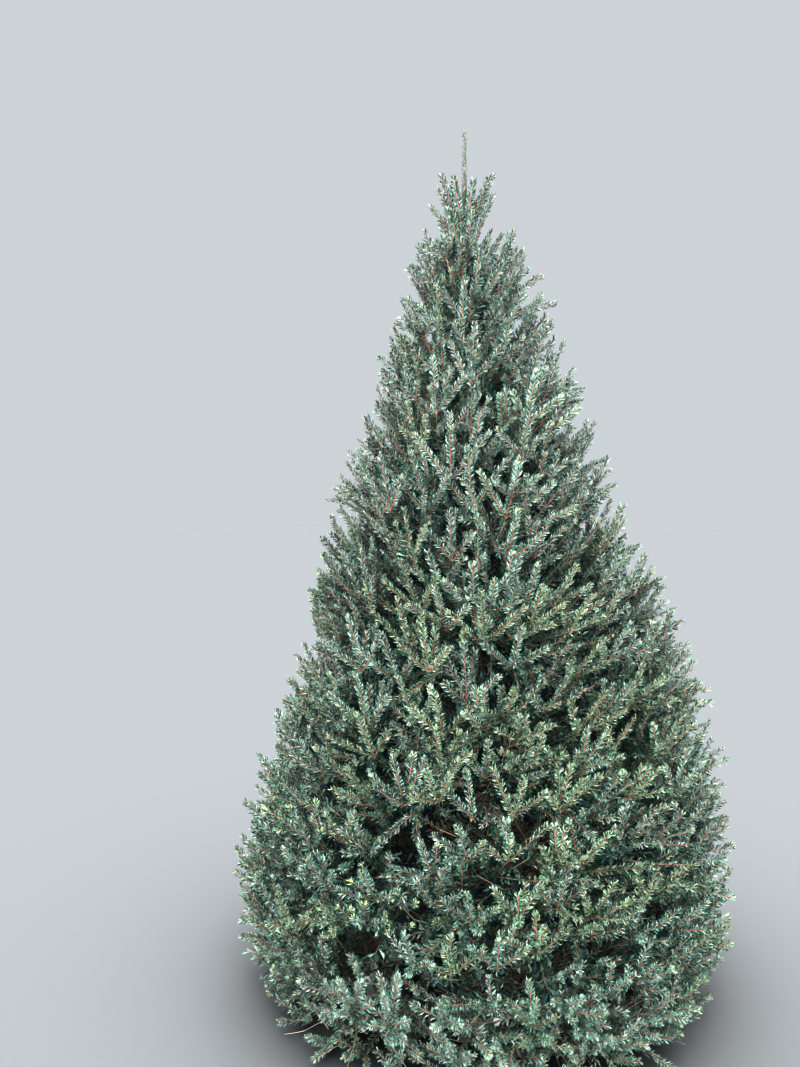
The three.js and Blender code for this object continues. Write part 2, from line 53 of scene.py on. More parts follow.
# The tree's rule, as in the part's source
TREE_HEIGHT = cad_high.z
TIP_LEAN = -0.052
LEAN_GROWTH = 1.4
TRUNK_SWAY = 0.011
CROWN_RADIUS = 0.855
WIDEST_HEIGHT = 0.45
OUTLINE_VANISHES = 3.15
OUTLINE_SHOULDER = 1.3
OUTLINE_SLIMMING = 1.15
SKIRT_TUCK = 0.09
RIGHT_BULGE = 0.052
BULGE_HEIGHT = 1.15
BULGE_SPAN = 0.45
GROUND_CLEARANCE = 0.03
LEAST_HEIGHT = 0.006
BUTT_RADIUS = 0.046
TIP_RADIUS = 0.003
TRUNK_TAPER = 1.15
FLARE = 0.02
FLARE_HEIGHT = 0.065
ROOT_LOBES = 5
LOBE_DEPTH = 0.006
MASSES_IN_WHORL = [5, 5, 5, 5, 4, 4, 3, 3, 3]
WHORLS_WITH_BOUGHS = 4
FIRST_WHORL = 0.14
WHORL_SPACING = 0.308
WHORL_TURN = 2.4
LOW_ANGLE = math.radians(3)
HIGH_ANGLE = math.radians(63)
SPOKE_SCATTER = 0.06
FOOT_SCATTER = 0.014
LIMB_SAG = 0.03
LIMB_BOW = 0.06
LIMB_THICKNESS = 0.0115
LIMB_TAPER = 0.8
BOUGH_ENDS = 0.42
STEM_ENDS = 0.8
STEM_TIP_RADIUS = 0.0025
COLUMN_STAGGER = 0.25
COLUMN_SCATTER = 0.22
ROW_SCATTER = 0.24
TIP_SCATTER = 0.015
TIP_LIFT = math.radians(16)
TWIG_SPLAY = 0.25
TWIG_SCATTER = 0.12
LEAST_FORWARD = 0.45
BRANCH_SLANT = 0.6
FIRST_TWIG = 0.04
LAST_TWIG = 0.03
BRANCH_STEP = 0.04
LEADER_FOOT = 2.61
OUTLINE_PASSES = 20

# What the rule is carried to here: more and finer twigs
ROW_PITCH = 0.135
TOP_ROW_PITCH = 0.125
COLUMN_PITCH = 0.142
TOP_COLUMN_PITCH = 0.11
EDGE_INSET = 0.012
REACH_SLACK = 0.03
BOX_ROOM = 0.035
UPPER_SHIFT = 0.035
UPPER_SHIFT_HEIGHT = 2.2
UPPER_SHIFT_SPAN = 0.45
LOW_SWELL = 0.034
LOW_SWELL_HEIGHT = 0.62
LOW_SWELL_SPAN = 0.36
SEED = 41

# Yearly shoots
YEAR_LENGTH = 0.118
BUSHY_BELOW = 1.15
TOP_YEAR_LENGTH = 0.23
LENGTH_GROWTH = 0.8
LAST_YEAR_LENGTH = 0.142
LENGTH_VARIATION = 0.16
SHOOT_RADIUS = 0.0018
SHOOT_TIP_RADIUS = 0.0012
TWIG_RADIUS = 0.0028
CURL_UP = 0.13
SHOOT_LIFT = math.radians(28)
LIFT_FADES = 0.72
SKIRT_HEIGHT = 0.34
TOP_HEIGHT = 2.15
LIFT_SCATTER = math.radians(8)
SHORTEST_SHOOT = 0.028
FORK_ANGLE = math.radians(41)
FORK_SCATTER = math.radians(7)
FORK_SHARE = 0.8
ROLL_SCATTER = 0.28

# Needles: on this year's shoots, last year's and older ones, and on the leader
NEEDLE_LENGTH = {"year": 0.0190, "last": 0.0210, "old": 0.034, "leader": 0.0145, "bare": 0.01}
NEEDLE_WIDTH = {"year": 0.0032, "last": 0.0047, "old": 0.0082, "leader": 0.0036, "bare": 0.002}
NEEDLES_PER_METRE = {"year": 1130, "last": 500, "old": 225, "leader": 1900, "bare": 0}
NEEDLE_TIP_SHARE = 0.5
WIDEST_SHARE = 0.66
# Shares of each shoot's needles dealt to a lit colour, painted highlight, and to a dim one, painted shade among the
# needles
PAINTED_HIGHLIGHT_SHARE = {"year": 0.27, "last": 0.22, "old": 0.24, "bare": 0}
PAINTED_SHADE_SHARE = {"year": 0.32, "last": 0.16, "old": 0, "bare": 0}
# Painted highlight needles reach a little further and lie flatter, along the sprays' rims
LIT_REACH = 1.06
LIT_COMB = 0.5
TUFT_NEEDLES = 9
TUFT_CHANCE = 0.45
NEEDLE_TWIST = 0.9
COMB_SPREAD = math.radians(48)
PARTING = math.radians(12)
LEAST_RADIAL = 0.20
RADIAL_GROWTH = 0.24
LOW_RADIAL = 0.42
LOW_WIDENING = 0.08
BRUSH_SPREAD = math.radians(95)
LEAN_AT_FOOT = math.radians(51)
LEAN_AT_TIP = math.radians(28)

# Inner twigs, spread evenly through each mass's space inside its outer sprays
INNER_STARTS = 0.14
INNER_ENDS = 0.8
INNER_TWIGS_PER_CUBIC_METRE = 960
DEAD_SHARE = 0.3
YOUNGER_SHARE = 0.58
MOST_NEEDLES = 98_000

# Dark hollows in the front of the crown, and bare twigs round the skirt
HOLLOWS = np.array([[-0.045, -0.80, 0.83], [0.02, -0.82, 0.655]])
HOLLOW_SPANS = np.array([[0.085, 0.22, 0.10], [0.065, 0.18, 0.05]])
HOLLOW_BROWN = 0.26
BARE_CHANCE = 0.4

ZONES = {"low": range(0, 2), "middle": range(2, 4), "upper": range(4, 9)}
UP = np.array([0.0, 0.0, 1.0])
ACROSS = np.array([1.0, 0.0, 0.0])
TWO_PI = 2 * math.pi


def seeded(*keys):
    """The same repeatable number from 0 to 1 for whole-number keys as in the part's source."""
    value = 2166136261
    for key in keys:
        value = ((value ^ (key + 1)) * 16777619) & 0xFFFFFFFF
        value = ((value ^ (value >> 15)) * 2246822519) & 0xFFFFFFFF
        value = (value ^ (value >> 13)) & 0xFFFFFFFF
    return value / 2**32


def jitter(*keys):
    return 2 * seeded(*keys) - 1


def lerp(a, b, share):
    return a + (b - a) * share


def clamp(value, low, high):
    return max(low, min(high, value))


def unit(vector):
    vector = np.asarray(vector, float)
    return vector / np.maximum(np.linalg.norm(vector, axis=-1, keepdims=True), 1e-12)


def trunk_centre(z):
    share = np.maximum(0, np.asarray(z, float) / TREE_HEIGHT)
    x = TIP_LEAN * share**LEAN_GROWTH + TRUNK_SWAY * np.sin(TWO_PI * share)
    y = TRUNK_SWAY * np.sin(np.pi * share)
    return np.stack([x, y, np.asarray(z, float)], axis=-1)


def trunk_radius(z):
    left = np.maximum(0, 1 - z / TREE_HEIGHT)
    return TIP_RADIUS + (BUTT_RADIUS - TIP_RADIUS) * left**TRUNK_TAPER


def root_flare(z, angle):
    return (FLARE + LOBE_DEPTH * np.cos(ROOT_LOBES * angle)) * np.exp(-z / FLARE_HEIGHT)


def crown_radius(z):
    if z < WIDEST_HEIGHT:
        return CROWN_RADIUS - SKIRT_TUCK * ((WIDEST_HEIGHT - z) / WIDEST_HEIGHT) ** 2
    share = min(1, (z - WIDEST_HEIGHT) / (OUTLINE_VANISHES - WIDEST_HEIGHT))
    return CROWN_RADIUS * (1 - share**OUTLINE_SHOULDER) ** OUTLINE_SLIMMING


def crown_reach(z, azimuth):
    bulge = RIGHT_BULGE * math.exp(-(((z - BULGE_HEIGHT) / BULGE_SPAN) ** 2))
    return crown_radius(z) + bulge * math.cos(azimuth)


def needled_reach(z, azimuth):
    """How far the needled shoots reach: a little further right high up, and further left low down."""
    shift = UPPER_SHIFT * math.exp(-(((z - UPPER_SHIFT_HEIGHT) / UPPER_SHIFT_SPAN) ** 2)) * math.cos(azimuth)
    swell = LOW_SWELL * math.exp(-(((z - LOW_SWELL_HEIGHT) / LOW_SWELL_SPAN) ** 2)) * max(0, -math.cos(azimuth))
    return crown_reach(z, azimuth) + shift + swell


def whorl_height(whorl):
    return FIRST_WHORL + whorl * WHORL_SPACING


def limb_angle(z):
    return lerp(LOW_ANGLE, HIGH_ANGLE, z / whorl_height(len(MASSES_IN_WHORL) - 1))


def space_floor(whorl, distance):
    if whorl == 0:
        return GROUND_CLEARANCE
    z = whorl_height(whorl) - WHORL_SPACING / 2
    return z + math.tan(limb_angle(z)) * distance


def mass_azimuth(whorl, spoke):
    return whorl * WHORL_TURN + spoke * TWO_PI / MASSES_IN_WHORL[whorl]


def polar(point):
    """A point's distance and azimuth from the trunk's axis at its height."""
    centre = trunk_centre(point[2])
    x, y = point[0] - centre[0], point[1] - centre[1]
    return math.hypot(x, y), math.atan2(y, x)


def from_polar(distance, azimuth, z):
    return trunk_centre(z) + distance * np.array([math.cos(azimuth), math.sin(azimuth), 0.0])


def turn_between(start, end):
    return (end - start + math.pi) % TWO_PI - math.pi


class Limb:
    """One limb's line from the trunk's axis to the crown's outline."""

    def __init__(self, whorl, spoke):
        self.azimuth = mass_azimuth(whorl, spoke) + SPOKE_SCATTER * jitter(whorl, spoke, 1)
        self.foot = whorl_height(whorl) + FOOT_SCATTER * jitter(whorl, spoke, 2)
        self.rise = math.tan(limb_angle(self.foot))
        self.reach = 0.0
        for _ in range(OUTLINE_PASSES):
            height = self.foot + self.rise * self.reach
            self.reach = (self.reach + crown_reach(height, self.azimuth)) / 2
        self.bow = LIMB_BOW * jitter(whorl, spoke, 3)
        self.length = self.reach / math.cos(math.atan(self.rise))

    def at(self, share):
        swell = math.sin(math.pi * share)
        distance = self.reach * share
        height = self.foot + self.rise * distance - LIMB_SAG * self.reach * swell
        return from_polar(distance, self.azimuth + self.bow * swell, height)

    def along(self, share):
        return unit(self.at(share + 0.01) - self.at(share - 0.01))

    def radius_at(self, share):
        worn = min(1, share / STEM_ENDS) ** LIMB_TAPER
        return lerp(LIMB_THICKNESS * self.length, STEM_TIP_RADIUS, worn)


def twig_direction(z, whorl, azimuth):
    low = min(z, whorl_height(whorl) + WHORL_SPACING / 2)
    steep = limb_angle(low) + TIP_LIFT * (1 - z / TREE_HEIGHT)
    flat = math.cos(steep)
    return np.array([flat * math.cos(azimuth), flat * math.sin(azimuth), math.sin(steep)])


def raised(direction, angle):
    """A direction turned upward by an angle, but not past 80 degrees."""
    flat = math.hypot(direction[0], direction[1])
    steep = min(math.atan2(direction[2], flat) + angle, math.radians(80))
    share = math.cos(steep) / max(flat, 1e-6)
    return np.array([direction[0] * share, direction[1] * share, math.sin(steep)])


def twig_tips(whorl, spoke):
    """(row, column, tip, azimuth) of each twig that a mass carries on the crown's outline."""
    azimuth = mass_azimuth(whorl, spoke)
    half_wedge = math.pi / MASSES_IN_WHORL[whorl]

    def height_at_outline(level):
        z = whorl_height(whorl)
        for _ in range(OUTLINE_PASSES):
            z = (z + space_floor(level, crown_radius(z))) / 2
        return z

    up = whorl_height(whorl) / TREE_HEIGHT
    row_pitch = lerp(ROW_PITCH, TOP_ROW_PITCH, up)
    column_pitch = lerp(COLUMN_PITCH, TOP_COLUMN_PITCH, up)
    low = height_at_outline(whorl) + EDGE_INSET
    high = height_at_outline(whorl + 1) - EDGE_INSET
    slope = math.hypot(high - low, crown_radius(low) - crown_radius(high))
    rows = max(1, round(slope / row_pitch))
    for row in range(rows):
        z = lerp(low, high, (row + 0.5) / rows)
        half_width = crown_radius(z) * half_wedge - EDGE_INSET
        stagger = -COLUMN_STAGGER if row % 2 else COLUMN_STAGGER
        columns = max(1, round(2 * half_width / column_pitch + stagger))
        for column in range(columns):
            keys = (whorl, spoke, row, column, SEED)
            across = ((column + 0.5 + COLUMN_SCATTER * jitter(*keys, 1)) / columns) * 2 - 1
            height = z + ROW_SCATTER * (high - low) * jitter(*keys, 2) / rows
            turned = azimuth + across * half_width / crown_radius(height)
            reach = needled_reach(height, turned) * (1 - TIP_SCATTER * seeded(*keys, 3))
            yield row, column, from_polar(reach, turned, height), turned


class Growth:
    """Every shoot of the tree, as a curve from start through bend to end, with what grows on it."""

    FIELDS = (
        "start bend end normal radius tip_radius kind zone colour count first last length width radial bud stem comb"
    ).split()

    def __init__(self):
        self.rows = []

    def add(self, **row):
        row.setdefault("width", NEEDLE_WIDTH[row["kind"]])
        row.setdefault("stem", True)
        row.setdefault("comb", 1.0)
        for name in ("start", "bend", "end"):
            point = row[name]
            row[name] = np.array([point[0], point[1], max(point[2], 0.8 * GROUND_CLEARANCE)])
        self.rows.append([row[name] for name in self.FIELDS])

    def table(self):
        columns = zip(*self.rows)
        return {name: np.array(column) for name, column in zip(self.FIELDS, columns)}


growth = Growth()


def cross_axes(along):
    """A side axis and the normal of the flat spray round a direction."""
    reference = ACROSS if abs(along[2]) > 0.97 else UP
    side = unit(np.cross(reference, along))
    return side, np.cross(along, side)


def inside_outline(point, slack):
    distance, azimuth = polar(point)
    if np.any(np.linalg.norm((point - HOLLOWS) / HOLLOW_SPANS, axis=1) < 1):
        return False
    if any(not cad_low[axis] - BOX_ROOM < point[axis] < cad_high[axis] + BOX_ROOM for axis in (0, 1)):
        return False
    return distance < needled_reach(point[2], azimuth) + slack and point[2] > GROUND_CLEARANCE


class Spray:
    """One twig's surroundings: its chance numbers, its zone, its colours and how needled it is."""

    def __init__(self, rng, zone, colours, fullness, slack=REACH_SLACK):
        self.rng = rng
        self.slack = slack
        self.zone = zone
        self.colours = colours
        self.fullness = fullness

    def vary(self, amount):
        return 1 + amount * self.rng.uniform(-1, 1)

    def shoot(self, start, direction, normal, length, kind, radius, tip_radius, bud=False, needled=(0.04, 1.0)):
        """Grows one shoot and returns its end, its direction there and its normal, or None if it has no room."""
        stray = self.rng.normal(0, 0.03, 3)
        last = unit(direction + CURL_UP * UP * (1 - abs(direction[2])) + stray)
        for _ in range(4):
            bend = start + direction * length / 2
            end = bend + last * length / 2
            if inside_outline(end, self.slack):
                break
            length *= 0.82
        else:
            return None
        if length < SHORTEST_SHOOT:
            return None
        first, final = needled
        needle_length = NEEDLE_LENGTH[kind] * self.vary(0.1)
        lowness = clamp(1.4 - start[2], 0, 1)
        count = NEEDLES_PER_METRE[kind] * self.fullness * length * (final - first)
        row = {
            "start": start, "bend": bend, "end": end, "normal": normal, "radius": radius, "tip_radius": tip_radius,
            "kind": kind, "zone": self.zone, "first": first, "last": final, "length": needle_length,
            "radial": LEAST_RADIAL + RADIAL_GROWTH * abs(direction[2]) ** 3 + LOW_RADIAL * lowness,
            "width": NEEDLE_WIDTH[kind] * (1 + LOW_WIDENING * lowness),
        }
        self.deal(row, count, bud)
        if kind == "year" and self.rng.random() < TUFT_CHANCE:
            row["first"] = 1 - 0.012 / length
            row["radial"] = 0.9
            growth.add(**row, colour=self.colours["tuft"], count=TUFT_NEEDLES, bud=False, stem=False)
        rolled = normal + ROLL_SCATTER * self.rng.normal(0, 1) * np.cross(last, normal)
        return end, last, unit(rolled - np.dot(rolled, last) * last)

    def deal(self, row, count, bud=False):
        """Adds a shoot whose needles have its own colour, apart from some in a lit colour, painted highlight, and some
        in a dim one, painted shade.
        """
        kind = row["kind"]
        painted_highlight_count = int(count * PAINTED_HIGHLIGHT_SHARE[kind])
        painted_shade_count = int(count * PAINTED_SHADE_SHARE[kind])
        growth.add(**row, colour=self.colours[kind], count=int(count) - painted_highlight_count - painted_shade_count, bud=bud)
        # Painted highlight: these needles take a lit colour
        if painted_highlight_count:
            rim = dict(row, length=row["length"] * LIT_REACH, comb=LIT_COMB)
            colour = self.colours["lit" if kind == "year" else "lit_inner"]
            growth.add(**rim, colour=colour, count=painted_highlight_count, bud=False, stem=False)
        # Painted shade: these needles take a dim colour for the shade among the needles
        if painted_shade_count:
            growth.add(**row, colour=self.colours["dark"], count=painted_shade_count, bud=False, stem=False)

    def fork(self, node, count, length, kind, radius, tip_radius, bud=False, angle=FORK_ANGLE):
        """Side shoots at a node, to the two sides in turn, and returns their ends."""
        point, direction, normal = node
        side = np.cross(normal, direction)
        ends = []
        hand = 1 if self.rng.random() < 0.5 else -1
        for order in range(count):
            spread = angle + FORK_SCATTER * self.rng.normal(0, 1)
            if order < 2:
                out = hand * side + 0.18 * self.rng.normal(0, 1) * normal
            else:
                out = normal * (1 if self.rng.random() < 0.7 else -1) + 0.6 * self.rng.normal(0, 1) * side
                spread *= 0.8
            hand = -hand
            out = unit(out - np.dot(out, direction) * direction)
            way = direction * math.cos(spread) + out * math.sin(spread)
            flat = unit(normal - np.dot(normal, way) * way)
            size = length * self.vary(0.2)
            end = self.shoot(point, way, flat, size, kind, radius, tip_radius, bud)
            if end:
                ends.append(end)
        return ends


def point_on(start, bend, end, share):
    return (1 - share) ** 2 * start + 2 * share * (1 - share) * bend + share**2 * end


def spray_colours(rng, tip):
    """The colours of a twig's needles by age, dealt out by chance and by where the twig is: painted shade grows with
    height, lit colours are painted highlights, and the low greens are partly painted light.
    """
    low = tip[2] < 0.36
    high = tip[2] > TOP_HEIGHT
    deal = rng.random()
    # Low sprays are mostly the dull grey-green: partly their own duller colour, partly painted light that brightens the
    # skirt
    if low and deal < 0.65:
        year = "dull"
    elif deal < (0.22 if tip[2] < 0.9 else 0.42):
        year = "mid"
    elif deal < 0.76 or tip[2] > 1.9 and deal < 0.9:
        year = "blue"
    else:
        year = "fresh"
    last = "deep" if rng.random() < 0.7 else "mid"
    # The lit colour of this spray's painted highlights
    lit = "lit_green" if year == "fresh" or year == "mid" and rng.random() < 0.6 else "lit_blue"
    # Painted shade: a fifth of the sprays, and more the higher they stand, take the shade green and its dimmer lit
    # colour, for the weaker light on the upper crown
    if rng.random() < 0.2 + 0.65 * clamp(tip[2] - 0.8, 0, 1) and not low:
        year = "shade"
        lit = "lit_shade"
    # Low down the painted highlights take the dimmer lit colour
    if low:
        lit = "lit_shade"
    flush = 0.4 < tip[2] < 0.85 and tip[0] < -0.2 and rng.random() < 0.3
    # Tufts at the tips take a lit colour, painted highlight; the pale flush on the lower left is the new growth's own
    # colour
    tuft = "pale" if flush else "lit_green" if rng.random() < 0.4 else "lit_blue"
    bushy = tip[2] < BUSHY_BELOW
    last = "dull" if low else "mid" if high or bushy else last
    # Old inner needles: a pale grey-green low down, partly painted light; the deepest green in the middle heights,
    # partly painted shade inside the crown; less deep at the top
    old = "faded" if low else "deep" if high else "old"
    # Older shoots' lit needles are painted highlights too, and their painted shade needles are less deep low down
    inner = {"lit_inner": "dull" if low else "mid", "dark": "deep" if low else "dark"}
    return {"year": year, "last": last, "old": old, "lit": lit, "tuft": tuft, "bare": "old", **inner}


def zone_of(whorl):
    return next(name for name, whorls in ZONES.items() if whorl in whorls)


def twig_root(limb, whorl, node, along):
    """Where on its limb a twig starts, so that it reaches its needled length without a sharp bend."""
    start = BOUGH_ENDS if whorl < WHORLS_WITH_BOUGHS else 0
    clear = (trunk_radius(limb.foot) + 0.006) / limb.reach
    lowest = max(start + FIRST_TWIG, clear)
    distance, azimuth = polar(node)
    aside = abs(distance * math.sin(turn_between(limb.azimuth, azimuth)))
    share = clamp((distance - BRANCH_SLANT * aside) / limb.reach, lowest, STEM_ENDS - LAST_TWIG)
    while np.dot(unit(node - limb.at(share)), along) < LEAST_FORWARD and share > lowest:
        share = max(lowest, share - BRANCH_STEP)
    return share


def grow_twig(limb, whorl, spoke, row, column, tip, turned):
    """One twig: an old stem off the limb, last year's length and this year's, with forks at each year's node."""
    rng = np.random.default_rng([SEED, whorl, spoke, row, column])
    up = tip[2] / TREE_HEIGHT
    colours = spray_colours(rng, tip)
    low = tip[2] < 0.3
    spray = Spray(rng, zone_of(whorl), colours, 0.9 if low else 1.0)
    year = lerp(YEAR_LENGTH, TOP_YEAR_LENGTH, up**LENGTH_GROWTH) * spray.vary(LENGTH_VARIATION)
    last_year = LAST_YEAR_LENGTH * spray.vary(LENGTH_VARIATION)
    splay = TWIG_SPLAY * turn_between(limb.azimuth, turned)
    heading = turned + splay + TWIG_SCATTER * rng.uniform(-1, 1)
    along = twig_direction(tip[2], whorl, heading)
    lean = unit(along + 0.12 * rng.normal(0, 1, 3) - 0.1 * UP)
    lift = SHOOT_LIFT * (1 - LIFT_FADES * up) * min(1, tip[2] / SKIRT_HEIGHT)
    along = raised(along, lift + LIFT_SCATTER * rng.normal(0, 1))
    side, normal = cross_axes(along)
    normal = unit(normal + ROLL_SCATTER * rng.normal(0, 1) * side)
    node = tip - along * year
    older = node - lean * last_year
    share = twig_root(limb, whorl, older, along)
    root = limb.at(share)
    span = np.linalg.norm(older - root)
    if np.dot(unit(older - root), along) < 0.2:
        older = lerp(root, node, 0.5)
        span = np.linalg.norm(older - root)
    bend = lerp(root, older, 0.5) + limb.along(share) * span * 0.12
    stem = {
        "start": root, "bend": bend, "end": older, "normal": normal, "radius": TWIG_RADIUS * 1.2,
        "tip_radius": TWIG_RADIUS * 0.85, "kind": "old", "zone": spray.zone, "first": 0.25, "last": 1.0,
        "length": NEEDLE_LENGTH["old"], "radial": 0.2,
    }
    spray.deal(stem, NEEDLES_PER_METRE["old"] * span * 0.75 * spray.fullness)
    high = tip[2] > TOP_HEIGHT
    if not high:
        old_twiglets(spray, root, bend, older, normal, span)
    if tip[2] < SKIRT_HEIGHT:
        bare_twigs(spray, root, bend, older, turned)
    middle = lerp(older, node, 0.5) + spray.rng.normal(0, 0.004, 3)
    last_length = np.linalg.norm(node - older)
    stem = {
        "start": older, "bend": middle, "end": node, "normal": normal, "radius": TWIG_RADIUS * 0.85,
        "tip_radius": SHOOT_RADIUS * 1.15, "kind": "last", "zone": spray.zone, "first": 0.0, "last": 1.0,
        "length": NEEDLE_LENGTH["last"], "radial": LEAST_RADIAL + RADIAL_GROWTH * abs(along[2]) ** 3,
    }
    spray.deal(stem, NEEDLES_PER_METRE["last"] * last_length * spray.fullness)
    # The forks at last year's node carry on for two years
    first_way = unit(middle - older)
    forks = 3 if not high and rng.random() < 0.3 else 2
    for end in spray.fork((older, first_way, normal), forks, last_year * FORK_SHARE, "last", SHOOT_RADIUS * 1.2,
                          SHOOT_RADIUS):
        point, way, flat = end
        size = year * FORK_SHARE * spray.vary(0.15)
        spray.shoot(point, way, flat, size, "year", SHOOT_RADIUS, SHOOT_TIP_RADIUS, bud=True)
        if rng.random() < (0.75 if tip[2] < BUSHY_BELOW else 0.35):
            spray.fork(end, 1, year * FORK_SHARE * 0.62, "year", SHOOT_RADIUS, SHOOT_TIP_RADIUS, bud=True)
    # Short shoots along last year's length
    for place in (0.35, 0.68):
        if rng.random() < 0.25 and not high:
            point = point_on(older, middle, node, place)
            flat = unit(normal - np.dot(normal, first_way) * first_way)
            spray.fork((point, first_way, flat), 1, year * 0.36, "year", SHOOT_RADIUS * 0.9, SHOOT_TIP_RADIUS, bud=True,
                       angle=FORK_ANGLE * 1.15)
    # This year's leading shoot and the forks beside it
    spray.shoot(node, unit(tip - node), normal, year, "year", SHOOT_RADIUS, SHOOT_TIP_RADIUS, bud=True)
    flat = unit(normal - np.dot(normal, along) * along)
    deal = rng.random()
    sides = 2 if deal < 0.45 or high else 3 if deal < 0.8 else 4
    sides += tip[2] < BUSHY_BELOW
    spray.fork((node, along, flat), sides, year * FORK_SHARE, "year", SHOOT_RADIUS, SHOOT_TIP_RADIUS, bud=True)


def old_twiglets(spray, root, bend, end, normal, span):
    """Short old side twigs, thinly needled, along the stem that carries a twig."""
    count = int(span / 0.075)
    for order in range(count):
        share = (order + 0.6) / (count + 0.4)
        point = point_on(root, bend, end, share)
        way = unit(end - root)
        flat = unit(normal - np.dot(normal, way) * way)
        ends = spray.fork((point, way, flat), 1, 0.13, "old", SHOOT_RADIUS * 1.1, SHOOT_RADIUS * 0.8,
                          angle=FORK_ANGLE * 1.2)
        for node in ends:
            spray.fork(node, 1, 0.08, "old", SHOOT_RADIUS * 0.9, SHOOT_TIP_RADIUS)


def bare_twigs(spray, root, bend, end, azimuth):
    """Thin grey twigs without needles that stand out of the skirt."""
    for place in (0.55, 0.85, 1.0):
        if spray.rng.random() < BARE_CHANCE:
            point = point_on(root, bend, end, place)
            turned = azimuth + spray.rng.normal(0, 0.5)
            steep = spray.rng.uniform(-0.45, 0.35)
            way = np.array([math.cos(steep) * math.cos(turned), math.cos(steep) * math.sin(turned), math.sin(steep)])
            node = spray.shoot(point, way, UP, spray.rng.uniform(0.16, 0.3), "bare", 0.0013, 0.0007)
            if node:
                spray.fork(node, 1, 0.09, "bare", 0.0008, 0.0006)


def grow_limb_end(limb, whorl, spoke):
    """The limb's own line goes on past its stem to the outline."""
    rng = np.random.default_rng([SEED, whorl, spoke, 977])
    tip = limb.at(0.985)
    spray = Spray(rng, zone_of(whorl), spray_colours(rng, tip), 1.0)
    along = limb.along(0.95)
    side, normal = cross_axes(along)
    up = tip[2] / TREE_HEIGHT
    year = min(lerp(YEAR_LENGTH, TOP_YEAR_LENGTH, up), 0.5 * limb.length * (1 - STEM_ENDS) + 0.08)
    root = limb.at(STEM_ENDS - 0.02)
    node = limb.at(STEM_ENDS + 0.08) if whorl < 6 else root
    way = unit(node - root) if whorl < 6 else limb.along(STEM_ENDS)
    if whorl < 6:
        stem = {
            "start": root, "bend": lerp(root, node, 0.5), "end": node, "normal": normal, "radius": STEM_TIP_RADIUS,
            "tip_radius": SHOOT_RADIUS, "kind": "last", "zone": spray.zone, "first": 0.0, "last": 1.0,
            "length": NEEDLE_LENGTH["last"], "radial": 0.2,
        }
        spray.deal(stem, NEEDLES_PER_METRE["last"] * np.linalg.norm(node - root))
    spray.shoot(node, unit(tip - node), normal, np.linalg.norm(tip - node), "year", SHOOT_RADIUS,
                SHOOT_TIP_RADIUS, bud=True)
    spray.fork((node, way, normal), 4, year * 0.75, "year", SHOOT_RADIUS, SHOOT_TIP_RADIUS, bud=True)


def grow_inner_twigs(limb, whorl, spoke):
    """Old twigs from the limb to places spread evenly through the mass's space, brown and dead near the trunk."""
    rng = np.random.default_rng([SEED, whorl, spoke, 978])
    half_wedge = math.pi / MASSES_IN_WHORL[whorl]
    middle = 0.5 * limb.reach
    thickness = space_floor(whorl + 1, middle) - space_floor(whorl, middle)
    volume = half_wedge * (INNER_ENDS * limb.reach) ** 2 * thickness
    count = int(volume * INNER_TWIGS_PER_CUBIC_METRE)
    # Colours of the inner needles, with painted shade needles among them
    colours = {"old": "old", "last": "deep", "dark": "dark"}
    for order in range(count):
        far = math.sqrt(lerp(INNER_STARTS**2, INNER_ENDS**2, (order + rng.random()) / count))
        across = 2 * ((0.7548777 * order + rng.random() / count) % 1) - 1
        lift = (0.5698403 * order + rng.random() / count) % 1
        distance = far * limb.reach
        height = lerp(space_floor(whorl, distance), space_floor(whorl + 1, distance), lift)
        goal = from_polar(distance, limb.azimuth + 0.97 * across * half_wedge, height)
        aside = abs(across) * half_wedge * distance
        foot = limb.at(clamp(far - 0.7 * aside / limb.reach, 0.06, STEM_ENDS - LAST_TWIG))
        goal[2] = max(goal[2], 2 * GROUND_CLEARANCE)
        outward, turned = polar(goal)
        if outward > 0.9 * crown_reach(goal[2], turned) - 0.045 or goal[2] > TOP_HEIGHT + 0.38:
            continue
        length = np.linalg.norm(goal - foot)
        if length < SHORTEST_SHOOT:
            continue
        way = (goal - foot) / length
        side, normal = cross_axes(way)
        browned = np.min(np.linalg.norm(goal - HOLLOWS, axis=1)) < HOLLOW_BROWN
        # Inner needles: brown where dead, a pale grey-green low down, partly painted light, and otherwise deep greens,
        # partly painted shade inside the crown
        colours["old"] = "faded" if goal[2] < 0.5 and far > DEAD_SHARE else "deep" if goal[2] > TOP_HEIGHT else "old"
        if browned or far < DEAD_SHARE + 0.06 * rng.normal(0, 1):
            colours["old"] = "dead"
        # Painted highlights on the inner needles: mid green low down, the shade green higher up, dull beside the pale
        # low needles and brown beside dead ones
        lit_inner = "mid" if goal[2] < BUSHY_BELOW else "shade"
        colours["lit_inner"] = {"dead": "dead", "faded": "dull"}.get(colours["old"], lit_inner)
        colours["last"] = "shade" if goal[2] < BUSHY_BELOW else "deep"
        kind = "last" if far > YOUNGER_SHARE and not browned else "old"
        spray = Spray(rng, zone_of(whorl), colours, 1.0, slack=-0.05)
        node = spray.shoot(foot, way, normal, length, kind, TWIG_RADIUS * 0.8, SHOOT_TIP_RADIUS,
                           needled=(max(0.0, 1 - 0.13 / length), 1.0))
        if node:
            spray.fork(node, 1, 0.07, kind, SHOOT_TIP_RADIUS, SHOOT_TIP_RADIUS)


# The top of the tree
TOP_SHOOTS = 12
TOP_SHOOT_LENGTH = 0.225
LEADER_BUDS = 12
TOP_LEAN = 0.09
NECK_SHOOTS = 13
NECK_SHOOT_LENGTH = 0.22


